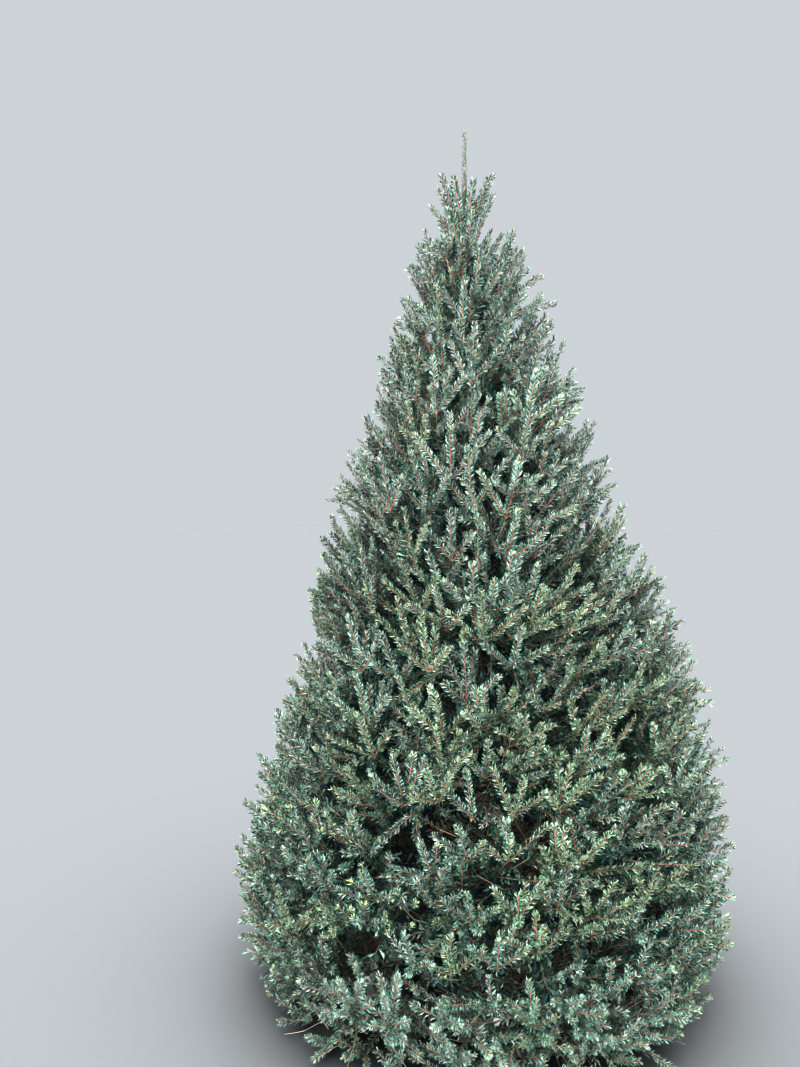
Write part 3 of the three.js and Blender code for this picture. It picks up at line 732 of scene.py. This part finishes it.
def grow_top():
    """The steep shoots of the top whorl, the leader's needles and shoots along the upper trunk."""
    for order in range(TOP_SHOOTS):
        rng = np.random.default_rng([SEED, 90, order])
        # The top shoots take the shade and deep greens, painted shade, with the dimmer lit colour for their painted
        # highlights
        colours = {
            "year": "shade" if order % 3 == 0 else "deep", "lit": "lit_shade", "tuft": "lit_shade", "dark": "dark",
        }
        spray = Spray(rng, "upper", colours, 1.0, slack=0.06)
        azimuth = TWO_PI * (order + 0.3 * rng.uniform(-1, 1)) / TOP_SHOOTS
        steep = math.radians(63 + 9 * rng.uniform(-1, 1))
        height = LEADER_FOOT + 0.012 * rng.uniform(-1, 1)
        way = np.array([math.cos(steep) * math.cos(azimuth), math.cos(steep) * math.sin(azimuth), math.sin(steep)])
        way = unit(way + TOP_LEAN * ACROSS)
        foot = from_polar(0.004, azimuth, height)
        side, normal = cross_axes(way)
        spray.fullness = 1.35
        spray.shoot(foot, way, normal, TOP_SHOOT_LENGTH * (spray.vary(0.08) - 0.06), "year", 0.0026, 0.0019,
                    bud=True, needled=(0.06, 1.0))
    # Steep shoots along last year's leader, just under the top whorl
    for order in range(NECK_SHOOTS):
        rng = np.random.default_rng([SEED, 93, order])
        # The shoots under the top whorl take the shade and deep greens, painted shade, with the dimmer lit colour for
        # their painted highlights
        colours = {
            "year": "shade" if order % 3 else "deep", "lit": "lit_shade", "tuft": "lit_shade", "dark": "dark",
        }
        spray = Spray(rng, "upper", colours, 1.25, slack=0.045)
        height = lerp(2.33, 2.575, (order + 0.5) / NECK_SHOOTS)
        azimuth = order * WHORL_TURN + 0.3 * rng.uniform(-1, 1)
        steep = math.radians(lerp(52, 62, order / NECK_SHOOTS) + 5 * rng.uniform(-1, 1))
        way = np.array([math.cos(steep) * math.cos(azimuth), math.cos(steep) * math.sin(azimuth), math.sin(steep)])
        way = unit(way + TOP_LEAN * ACROSS)
        foot = from_polar(0.004, azimuth, height)
        side, normal = cross_axes(way)
        node = spray.shoot(foot, way, normal, NECK_SHOOT_LENGTH * spray.vary(0.12), "year", 0.0024, 0.0018, bud=True)
    # Shoots that stand singly along last year's and older leaders
    for order in range(26):
        rng = np.random.default_rng([SEED, 91, order])
        height = lerp(1.25, 2.56, (order + rng.random()) / 26)
        # These shoots' lit needles are painted highlights and their dim ones painted shade
        colours = {
            "year": "blue", "last": "deep", "lit": "lit_blue", "lit_inner": "mid", "tuft": "lit_blue", "dark": "dark",
        }
        spray = Spray(rng, "upper", colours, 1.0)
        azimuth = order * WHORL_TURN + rng.uniform(-0.4, 0.4)
        steep = math.radians(50 + 8 * rng.uniform(-1, 1))
        way = np.array([math.cos(steep) * math.cos(azimuth), math.cos(steep) * math.sin(azimuth), math.sin(steep)])
        foot = from_polar(trunk_radius(height) * 0.5, azimuth, height)
        side, normal = cross_axes(way)
        node = spray.shoot(foot, way, normal, 0.1 * spray.vary(0.3), "last", 0.0024, 0.0018)
        if node:
            point, way, flat = node
            spray.shoot(point, way, flat, 0.1 * spray.vary(0.3), "year", 0.0018, 0.0012, bud=True)
            spray.fork(node, 2, 0.075, "year", 0.0016, 0.0012, bud=True)
    foot, tip = trunk_centre(LEADER_FOOT), trunk_centre(TREE_HEIGHT)
    growth.add(
        start=foot, bend=trunk_centre((LEADER_FOOT + TREE_HEIGHT) / 2), end=tip, normal=np.array([0.0, -1.0, 0.0]),
        radius=0.007, tip_radius=0.003, kind="leader", zone="upper", colour="frost",
        count=int(NEEDLES_PER_METRE["leader"] * (TREE_HEIGHT - LEADER_FOOT)), first=0.06, last=0.985,
        length=NEEDLE_LENGTH["leader"], radial=1.0, bud=False, stem=False,
    )
    for order in range(LEADER_BUDS):
        rng = np.random.default_rng([SEED, 92, order])
        height = lerp(2.68, TREE_HEIGHT - 0.004, (order / (LEADER_BUDS - 1)) ** 0.8)
        azimuth = order * WHORL_TURN + rng.uniform(-0.4, 0.4)
        out = np.array([math.cos(azimuth), math.sin(azimuth), 1.1])
        foot = from_polar(trunk_radius(height) - 0.001, azimuth, height)
        growth.add(
            start=foot, bend=foot + 0.001 * out, end=foot + 0.002 * out, normal=UP - out * 0.4, radius=0.0015,
            tip_radius=0.0015, kind="year", zone="upper", colour="frost", count=0, first=0.0, last=1.0,
            length=NEEDLE_LENGTH["leader"], radial=0.0, bud=True, stem=False,
        )


limbs = {}
for whorl, masses in enumerate(MASSES_IN_WHORL):
    for spoke in range(masses):
        limb = Limb(whorl, spoke)
        limbs[whorl, spoke] = limb
        if whorl == len(MASSES_IN_WHORL) - 1:
            continue
        for row, column, tip, turned in twig_tips(whorl, spoke):
            grow_twig(limb, whorl, spoke, row, column, tip, turned)
        grow_limb_end(limb, whorl, spoke)
        grow_inner_twigs(limb, whorl, spoke)
grow_top()
shoots = growth.table()
needles_in_all = int(shoots["count"].sum())
print("shoots", len(shoots["count"]), "needles", needles_in_all)


# Materials

def node_material(name, colour, rough, specular=0.4):
    """A Principled material with the colour on its socket and fine uneven roughness from noise."""
    material = bpy.data.materials.new(name)
    material.use_nodes = True
    nodes, links = material.node_tree.nodes, material.node_tree.links
    shader = nodes["Principled BSDF"]
    shader.inputs["Base Color"].default_value = (*colour, 1)
    shader.inputs["Specular IOR Level"].default_value = specular
    place = nodes.new("ShaderNodeTexCoord")
    grain = nodes.new("ShaderNodeTexNoise")
    grain.inputs["Scale"].default_value = 55
    grain.inputs["Detail"].default_value = 3
    spread = nodes.new("ShaderNodeMapRange")
    spread.inputs["To Min"].default_value = rough[0]
    spread.inputs["To Max"].default_value = rough[1]
    links.new(place.outputs["Object"], grain.inputs["Vector"])
    links.new(grain.outputs["Fac"], spread.inputs["Value"])
    links.new(spread.outputs["Result"], shader.inputs["Roughness"])
    return material


def bark_material(name, stops, scale, depth, height_low, height_high):
    """Scaly bark whose colours change up the stem, with bump from the same scales."""
    material = bpy.data.materials.new(name)
    material.use_nodes = True
    nodes, links = material.node_tree.nodes, material.node_tree.links
    shader = nodes["Principled BSDF"]
    place = nodes.new("ShaderNodeTexCoord")
    stretch = nodes.new("ShaderNodeMapping")
    stretch.inputs["Scale"].default_value = (1, 1, 0.45)
    links.new(place.outputs["Object"], stretch.inputs["Vector"])
    scales = nodes.new("ShaderNodeTexVoronoi")
    scales.feature = "F1"
    scales.inputs["Scale"].default_value = scale
    links.new(stretch.outputs["Vector"], scales.inputs["Vector"])
    fine = nodes.new("ShaderNodeTexNoise")
    fine.inputs["Scale"].default_value = scale * 2.2
    fine.inputs["Detail"].default_value = 6
    fine.inputs["Roughness"].default_value = 0.65
    links.new(stretch.outputs["Vector"], fine.inputs["Vector"])
    split = nodes.new("ShaderNodeSeparateXYZ")
    links.new(place.outputs["Object"], split.inputs["Vector"])
    climb = nodes.new("ShaderNodeMapRange")
    climb.inputs["From Min"].default_value = height_low
    climb.inputs["From Max"].default_value = height_high
    links.new(split.outputs["Z"], climb.inputs["Value"])
    young = nodes.new("ShaderNodeMix")
    young.data_type = "RGBA"
    old_dark, old_light, young_dark, young_light = stops
    low_ramp = nodes.new("ShaderNodeValToRGB")
    low_ramp.color_ramp.elements[0].position = 0.3
    low_ramp.color_ramp.elements[0].color = (*old_dark, 1)
    low_ramp.color_ramp.elements[1].position = 0.68
    low_ramp.color_ramp.elements[1].color = (*old_light, 1)
    high_ramp = nodes.new("ShaderNodeValToRGB")
    high_ramp.color_ramp.elements[0].position = 0.3
    high_ramp.color_ramp.elements[0].color = (*young_dark, 1)
    high_ramp.color_ramp.elements[1].position = 0.68
    high_ramp.color_ramp.elements[1].color = (*young_light, 1)
    links.new(fine.outputs["Fac"], low_ramp.inputs["Fac"])
    links.new(fine.outputs["Fac"], high_ramp.inputs["Fac"])
    links.new(climb.outputs["Result"], young.inputs["Factor"])
    links.new(low_ramp.outputs["Color"], young.inputs["A"])
    links.new(high_ramp.outputs["Color"], young.inputs["B"])
    links.new(young.outputs["Result"], shader.inputs["Base Color"])
    mixed = nodes.new("ShaderNodeMath")
    mixed.operation = "ADD"
    links.new(scales.outputs["Distance"], mixed.inputs[0])
    links.new(fine.outputs["Fac"], mixed.inputs[1])
    bump = nodes.new("ShaderNodeBump")
    bump.inputs["Strength"].default_value = 0.7
    bump.inputs["Distance"].default_value = depth
    links.new(mixed.outputs["Value"], bump.inputs["Height"])
    links.new(bump.outputs["Normal"], shader.inputs["Normal"])
    shader.inputs["Roughness"].default_value = 0.85
    shader.inputs["Specular IOR Level"].default_value = 0.25
    return material


NEEDLE_COLOURS = {
    "dead": (0.055, 0.036, 0.028),
    # Painted shade: the deepest needles, set among the others for the shade between them
    "dark": (0.014, 0.040, 0.038),
    # A pale grey-green for old needles low down: partly painted light that brightens the skirt
    "faded": (0.160, 0.172, 0.152),
    # Old and deep: the deeper greens of older needles, partly their own colour and partly painted shade inside the
    # crown, with its bluish cast
    "old": (0.028, 0.066, 0.062),
    "deep": (0.061, 0.122, 0.100),
    # A dim green: painted shade on the sprays of the upper crown
    "shade": (0.083, 0.143, 0.116),
    "mid": (0.119, 0.200, 0.146),
    "blue": (0.112, 0.203, 0.166),
    "fresh": (0.126, 0.212, 0.146),
    # A grey-green for the skirt's sprays: partly their own duller colour, partly painted light
    "dull": (0.176, 0.250, 0.212),
    # Lit colours: painted highlights, for light on the rims of the sprays and glints on the needles
    "lit_shade": (0.234, 0.302, 0.262),
    "lit_blue": (0.248, 0.316, 0.268),
    "lit_green": (0.262, 0.322, 0.232),
    "pale": (0.480, 0.560, 0.290),
    "frost": (0.120, 0.155, 0.138),
}
needle_materials = {
    name: node_material(f"needles_{name}", colour, (0.40, 0.58), 0.3 if name in ("dead", "dark", "faded", "old") else 0.55)
    for name, colour in NEEDLE_COLOURS.items()
}
shoot_material = node_material("shoot_bark", (0.262, 0.126, 0.090), (0.5, 0.7), 0.35)
twig_material = node_material("twig_bark", (0.21, 0.15, 0.115), (0.7, 0.9), 0.25)
bare_material = node_material("bare_twig_bark", (0.27, 0.22, 0.185), (0.7, 0.9), 0.25)
bud_material = node_material("bud_scales", (0.42, 0.24, 0.12), (0.5, 0.7), 0.35)
trunk_material = bark_material(
    "trunk_bark",
    ((0.10, 0.075, 0.06), (0.30, 0.235, 0.19), (0.22, 0.12, 0.095), (0.38, 0.23, 0.185)),
    70, 0.004, 1.6, 2.7,
)
limb_material = bark_material(
    "limb_bark",
    ((0.12, 0.08, 0.06), (0.30, 0.215, 0.165), (0.17, 0.10, 0.06), (0.36, 0.22, 0.13)),
    110, 0.002, 0.6, 2.4,
)


# Meshes from arrays. The lamps light only the tree, so that the floor stays even.
lamp_lit = bpy.data.collections.new("lit_by_lamps")


def mesh_piece(name, points, faces, material, nodes, smooth=False):
    """A piece from arrays of points and of faces that all have the same number of corners."""
    mesh = bpy.data.meshes.new(name)
    corners = faces.shape[1]
    mesh.vertices.add(len(points))
    mesh.vertices.foreach_set("co", np.asarray(points, np.float32).ravel())
    mesh.loops.add(faces.size)
    mesh.loops.foreach_set("vertex_index", faces.astype(np.int32).ravel())
    mesh.polygons.add(len(faces))
    mesh.polygons.foreach_set("loop_start", np.arange(0, faces.size, corners, dtype=np.int32))
    mesh.polygons.foreach_set("use_smooth", np.full(len(faces), smooth))
    mesh.update(calc_edges=True)
    mesh.validate()
    mesh.materials.append(material)
    piece = bpy.data.objects.new(name, mesh)
    bpy.context.scene.collection.objects.link(piece)
    lamp_lit.objects.link(piece)
    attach(piece, "root")
    if nodes:
        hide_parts(*nodes)
    return piece


def curve_at(rows, index, share):
    """Points and directions on the shoots' curves."""
    start, bend, end = (rows[name][index] for name in ("start", "bend", "end"))
    s = share[:, None]
    point = (1 - s) ** 2 * start + 2 * s * (1 - s) * bend + s**2 * end
    way = unit((1 - s) * (bend - start) + s * (end - bend))
    return point, way


def needle_arrays(rows, rng):
    """Points and faces of all needles on some shoots: slivers that are widest past their middle."""
    counts = rows["count"]
    index = np.repeat(np.arange(len(counts)), counts)
    number = np.arange(len(index)) - np.repeat(np.cumsum(counts) - counts, counts)
    raw = (number + rng.random(len(index))) / counts[index]
    share = lerp(rows["first"][index], rows["last"][index], raw)
    point, way = curve_at(rows, index, share)
    normal = rows["normal"][index]
    side = unit(np.cross(normal, way))
    lift = np.cross(way, side)
    radial = rows["radial"][index]
    hand = np.where(number % 2, 1, -1)
    spread = rng.normal(0, 1, len(index))
    comb = rows["comb"][index] * (COMB_SPREAD * np.abs(spread) - PARTING)
    roll = np.where(rng.random(len(index)) < radial, BRUSH_SPREAD * spread, comb)
    out = (hand * np.cos(roll))[:, None] * side + np.sin(roll)[:, None] * lift
    lean = lerp(LEAN_AT_FOOT, LEAN_AT_TIP, share**6) + rng.normal(0, 0.06, len(index))
    lean -= 0.3 * (radial == 1)
    along = unit(np.cos(lean)[:, None] * way + np.sin(lean)[:, None] * out)
    profile = np.minimum(1, 0.72 + 2.2 * share) * np.minimum(1, 0.84 + 2.4 * (1 - share))
    size = rows["length"][index] * profile * rng.uniform(0.93, 1.04, len(index))
    thick = lerp(rows["radius"][index], rows["tip_radius"][index], share)
    foot = point + out * (0.6 * thick)[:, None]
    tip = foot + along * size[:, None]
    tip[:, 2] = np.maximum(tip[:, 2], LEAST_HEIGHT)
    face = lift + 0.45 * rng.normal(0, 1, (len(index), 3))
    across = unit(np.cross(face, along)) * np.where(rng.random(len(index)) < 0.5, 1, -1)[:, None]
    square = np.cross(along, across)
    twist = NEEDLE_TWIST * rng.uniform(0.5, 1, len(index)) * np.where(rng.random(len(index)) < 0.5, 1, -1)
    tip_across = np.cos(twist)[:, None] * across + np.sin(twist)[:, None] * square
    kind = rows["kind"][0]
    width = rows["width"][index][:, None]
    swell = lerp(foot, tip, WIDEST_SHARE)
    corners = [foot, swell + across * width, tip]
    if kind == "leader":
        blunt = tip_across * width / 2 * NEEDLE_TIP_SHARE
        corners = [foot - across * width / 2, foot + across * width / 2, tip + blunt, tip - blunt]
    points = np.stack(corners, axis=1).reshape(-1, 3)
    faces = np.arange(len(points)).reshape(-1, len(corners))
    points[:, 2] = np.maximum(points[:, 2], 0.002)
    return points, faces


def stem_arrays(rows, sides=3, rings=3):
    """Points and faces of slim tubes along the shoots' curves, open at the ends, which are hidden."""
    count = len(rows["radius"])
    rows_points = []
    for ring in range(rings):
        share = np.full(count, ring / (rings - 1))
        point, way = curve_at(rows, np.arange(count), share)
        side = unit(np.cross(rows["normal"], way))
        lift = np.cross(way, side)
        radius = lerp(rows["radius"], rows["tip_radius"], share)[:, None]
        for k in range(sides):
            angle = TWO_PI * k / sides + math.pi / 2
            rows_points.append(point + radius * (math.cos(angle) * side + math.sin(angle) * lift))
    points = np.stack(rows_points, axis=1).reshape(-1, 3)
    quads = []
    for ring in range(rings - 1):
        for k in range(sides):
            a, b = ring * sides + k, ring * sides + (k + 1) % sides
            quads.append([a, b, b + sides, a + sides])
    base = np.arange(count)[:, None, None] * (rings * sides)
    faces = (base + np.array(quads)[None]).reshape(-1, 4)
    return points, faces


def bud_arrays(rows, rng):
    """Points and faces of the pointed buds at the shoots' tips."""
    tips = np.nonzero(rows["bud"])[0]
    place, way = curve_at(rows, tips, np.ones(len(tips)))
    side = unit(np.cross(rows["normal"][tips], way))
    lift = np.cross(way, side)
    length = BUD_LENGTH * rng.uniform(0.8, 1.2, (len(tips), 1))
    corners = []
    for k in range(3):
        angle = TWO_PI * k / 3
        corners.append(place + BUD_WIDTH * (math.cos(angle) * side + math.sin(angle) * lift))
    corners.append(place + way * length)
    points = np.stack(corners, axis=1).reshape(-1, 3)
    pattern = np.array([[0, 1, 3], [1, 2, 3], [2, 0, 3]])
    faces = (np.arange(len(tips))[:, None, None] * 4 + pattern[None]).reshape(-1, 3)
    return points, faces


def rows_where(mask):
    return {name: column[mask] for name, column in shoots.items()}


def foliage_nodes(zone):
    names = [
        f"foliage_{whorl + 1}_{spoke + 1}"
        for whorl in ZONES[zone]
        for spoke in range(MASSES_IN_WHORL[whorl])
    ]
    return names + (["leader_needles"] if zone == "upper" else [])


def make_needles():
    rng = np.random.default_rng(SEED)
    groups = {}
    for zone, colour, kind in zip(shoots["zone"], shoots["colour"], shoots["kind"]):
        groups[str(zone), str(colour), str(kind)] = True
    total = 0
    for zone, colour, kind in sorted(groups):
        mask = (shoots["zone"] == zone) & (shoots["colour"] == colour) & (shoots["kind"] == kind)
        rows = rows_where(mask & (shoots["count"] > 0))
        if not len(rows["count"]):
            continue
        parts = math.ceil(rows["count"].sum() / MOST_NEEDLES)
        share = np.floor(parts * (np.cumsum(rows["count"]) - 1) / rows["count"].sum()).astype(int)
        for part in range(parts):
            chosen = {name: column[share == part] for name, column in rows.items()}
            points, faces = needle_arrays(chosen, rng)
            name = f"needles_{zone}_{kind}_{colour}" + (f"_{part + 1}" if parts > 1 else "")
            mesh_piece(name, points, faces, needle_materials[colour], foliage_nodes(zone))
            total += len(faces) * (faces.shape[1] - 2)
    print("needle triangles", total, {str(k): int(shoots["count"][shoots["kind"] == k].sum()) for k in NEEDLE_WIDTH})


def make_stems():
    rng = np.random.default_rng(SEED + 1)
    for zone in ZONES:
        here = shoots["zone"] == zone
        year = shoots["kind"] == "year"
        here = here & shoots["stem"]
        young = rows_where(here & year)
        points, faces = stem_arrays(young)
        mesh_piece(f"shoots_{zone}", points, faces, shoot_material, foliage_nodes(zone))
        outer = rows_where(here & (shoots["kind"] == "last"))
        points, faces = stem_arrays(outer)
        inner = rows_where(here & (shoots["kind"] == "old"))
        inner_points, inner_faces = stem_arrays(inner, rings=2)
        faces = np.concatenate([faces, inner_faces + len(points)])
        points = np.concatenate([points, inner_points])
        mesh_piece(f"twigs_{zone}", points, faces, twig_material, foliage_nodes(zone))
        points, buds = bud_arrays(rows_where(shoots["zone"] == zone), rng)
        mesh_piece(f"buds_{zone}", points, buds, bud_material, foliage_nodes(zone))
        bare = rows_where(here & (shoots["kind"] == "bare"))
        if len(bare["count"]):
            points, bare_faces = stem_arrays(bare)
            mesh_piece(f"bare_twigs_{zone}", points, bare_faces, bare_material, foliage_nodes(zone))
        print("stems", zone, len(young["count"]), len(outer["count"]), len(inner["count"]), "faces", len(faces))


def grid_faces(rows, columns):
    """Quads of a grid that closes round its columns."""
    r, c = np.meshgrid(np.arange(rows - 1), np.arange(columns), indexing="ij")
    a = r * columns + c
    b = r * columns + (c + 1) % columns
    return np.stack([a, b, b + columns, a + columns], axis=-1).reshape(-1, 4)


BUD_LENGTH = 0.0065
BUD_WIDTH = 0.0024
TRUNK_RINGS = 170
TRUNK_SIDES = 30


def make_trunk():
    """The trunk as a fine mesh with scaly bark, collars at its whorls and the root flare."""
    heights = TREE_HEIGHT * np.linspace(0, 1, TRUNK_RINGS) ** 1.15
    angles = np.arange(TRUNK_SIDES) * TWO_PI / TRUNK_SIDES
    points = []
    for z in heights:
        centre = trunk_centre(z)
        radius = trunk_radius(z)
        nearest = min(abs(z - whorl_height(w)) for w in range(len(MASSES_IN_WHORL)))
        collar = 0.09 * radius * math.exp(-((nearest / 0.03) ** 2))
        for angle in angles:
            rough = noise.fractal(Vector((math.cos(angle) * 3, math.sin(angle) * 3, z * 22)), 0.8, 2.2, 4)
            around = radius + root_flare(z, angle) + collar + 0.05 * radius * rough
            points.append(centre + around * np.array([math.cos(angle), math.sin(angle), 0]))
    points = np.array(points)
    faces = grid_faces(TRUNK_RINGS, TRUNK_SIDES)
    mesh_piece("trunk_bark", points, faces, trunk_material, ["trunk"], smooth=True)


LIMB_RINGS = 22
LIMB_SIDES = 8


def limb_arrays(limb, start, end):
    points = []
    for ring in range(LIMB_RINGS):
        share = lerp(start, end, ring / (LIMB_RINGS - 1))
        centre, along = limb.at(share), limb.along(share)
        side, lift = cross_axes(along)
        radius = limb.radius_at(share)
        for k in range(LIMB_SIDES):
            angle = TWO_PI * k / LIMB_SIDES
            out = math.cos(angle) * side + math.sin(angle) * lift
            rough = noise.fractal(Vector(centre * 40 + out * 1.5), 0.8, 2.2, 3)
            points.append(centre + out * radius * (1 + 0.12 * rough))
    return np.array(points), grid_faces(LIMB_RINGS, LIMB_SIDES)


def make_limbs():
    """The limbs with their bark: boughs low on the tree, and the stems inside the foliage."""
    for whorl, masses in enumerate(MASSES_IN_WHORL[:-1]):
        points, faces, base = [], [], 0
        for spoke in range(masses):
            ring_points, ring_faces = limb_arrays(limbs[whorl, spoke], 0.0, STEM_ENDS)
            points.append(ring_points)
            faces.append(ring_faces + base)
            base += len(ring_points)
        if whorl < WHORLS_WITH_BOUGHS:
            nodes = [f"bough_{whorl + 1}_{spoke + 1}" for spoke in range(masses)]
        else:
            nodes = [f"foliage_{whorl + 1}_{spoke + 1}" for spoke in range(masses)]
        mesh_piece(f"limbs_{whorl + 1}", np.concatenate(points), np.concatenate(faces), limb_material,
                   nodes, smooth=True)


make_needles()
make_stems()
make_trunk()
make_limbs()


# The studio: a pale floor, soft light all round, and the camera where the photo was taken from
EYE = Vector((-0.284, -2.8, 1.6))
PITCH_DOWN = math.radians(1)
FOCAL_PIXELS = 770
PHOTO_HEIGHT_PIXELS = 1067
SENSOR = 36
LIGHT_ALL_ROUND = 0.32
LIGHT_ABOVE = 6.0
FLOOR_GREY = 0.1399


def make_floor():
    """A pale floor that runs on to the horizon, where its tone meets the light's."""
    mesh = bpy.data.meshes.new("studio_floor")
    angles = [TWO_PI * k / 96 for k in range(96)]
    points = [(r * math.cos(angle), r * math.sin(angle), 0.0) for r in (0.001, 4, 12, 40, 150) for angle in angles]
    mesh.from_pydata(points, [], grid_faces(5, 96).tolist())
    mesh.materials.append(node_material("studio_floor", (FLOOR_GREY, FLOOR_GREY, FLOOR_GREY), (0.85, 0.95), 0.0))
    floor = bpy.data.objects.new("studio_floor", mesh)
    bpy.context.scene.collection.objects.link(floor)


def make_light(name, place, size, power, target):
    data = bpy.data.lights.new(name, "AREA")
    data.shape = "DISK"
    data.size = size
    data.energy = power
    light = bpy.data.objects.new(name, data)
    light.location = place
    light.rotation_euler = (Vector(target) - Vector(place)).to_track_quat("-Z", "Y").to_euler()
    light.light_linking.receiver_collection = lamp_lit
    bpy.context.scene.collection.objects.link(light)


def make_world():
    """Soft light that is stronger from above, as under an even sky."""
    world = bpy.data.worlds.new("studio_light")
    world.use_nodes = True
    nodes, links = world.node_tree.nodes, world.node_tree.links
    background = nodes["Background"]
    background.inputs["Color"].default_value = (0.93, 0.97, 1.0, 1)
    place = nodes.new("ShaderNodeTexCoord")
    split = nodes.new("ShaderNodeSeparateXYZ")
    climb = nodes.new("ShaderNodeMapRange")
    climb.inputs["From Min"].default_value = 0.6
    climb.inputs["To Min"].default_value = LIGHT_ALL_ROUND
    climb.inputs["To Max"].default_value = LIGHT_ABOVE
    links.new(place.outputs["Generated"], split.inputs["Vector"])
    links.new(split.outputs["Z"], climb.inputs["Value"])
    links.new(climb.outputs["Result"], background.inputs["Strength"])
    bpy.context.scene.world = world


def make_camera():
    data = bpy.data.cameras.new("photo_view")
    data.sensor_width = SENSOR
    data.sensor_fit = "AUTO"
    data.lens = SENSOR * FOCAL_PIXELS / PHOTO_HEIGHT_PIXELS
    camera = bpy.data.objects.new("photo_view", data)
    camera.location = EYE
    camera.rotation_euler = (math.pi / 2 - PITCH_DOWN, 0, 0)
    bpy.context.scene.collection.objects.link(camera)
    bpy.context.scene.camera = camera


make_floor()
make_world()
make_light("key", (-2.9, -4.6, 2.9), 3.0, 405, (0, 0, 0.55))
make_light("fill", (3.2, -3.8, 0.9), 3.0, 300, (0, 0, 0.3))
make_light("back", (1.6, 4.8, 3.4), 3.0, 190, (0, 0, 0.8))
make_light("side", (-4.8, 2.2, 2.6), 3.0, 110, (0, 0, 0.8))
bpy.context.scene.view_settings.view_transform = "Standard"
bpy.context.scene.view_settings.exposure = 1.28
bpy.context.scene.view_settings.gamma = 0.65
make_camera()
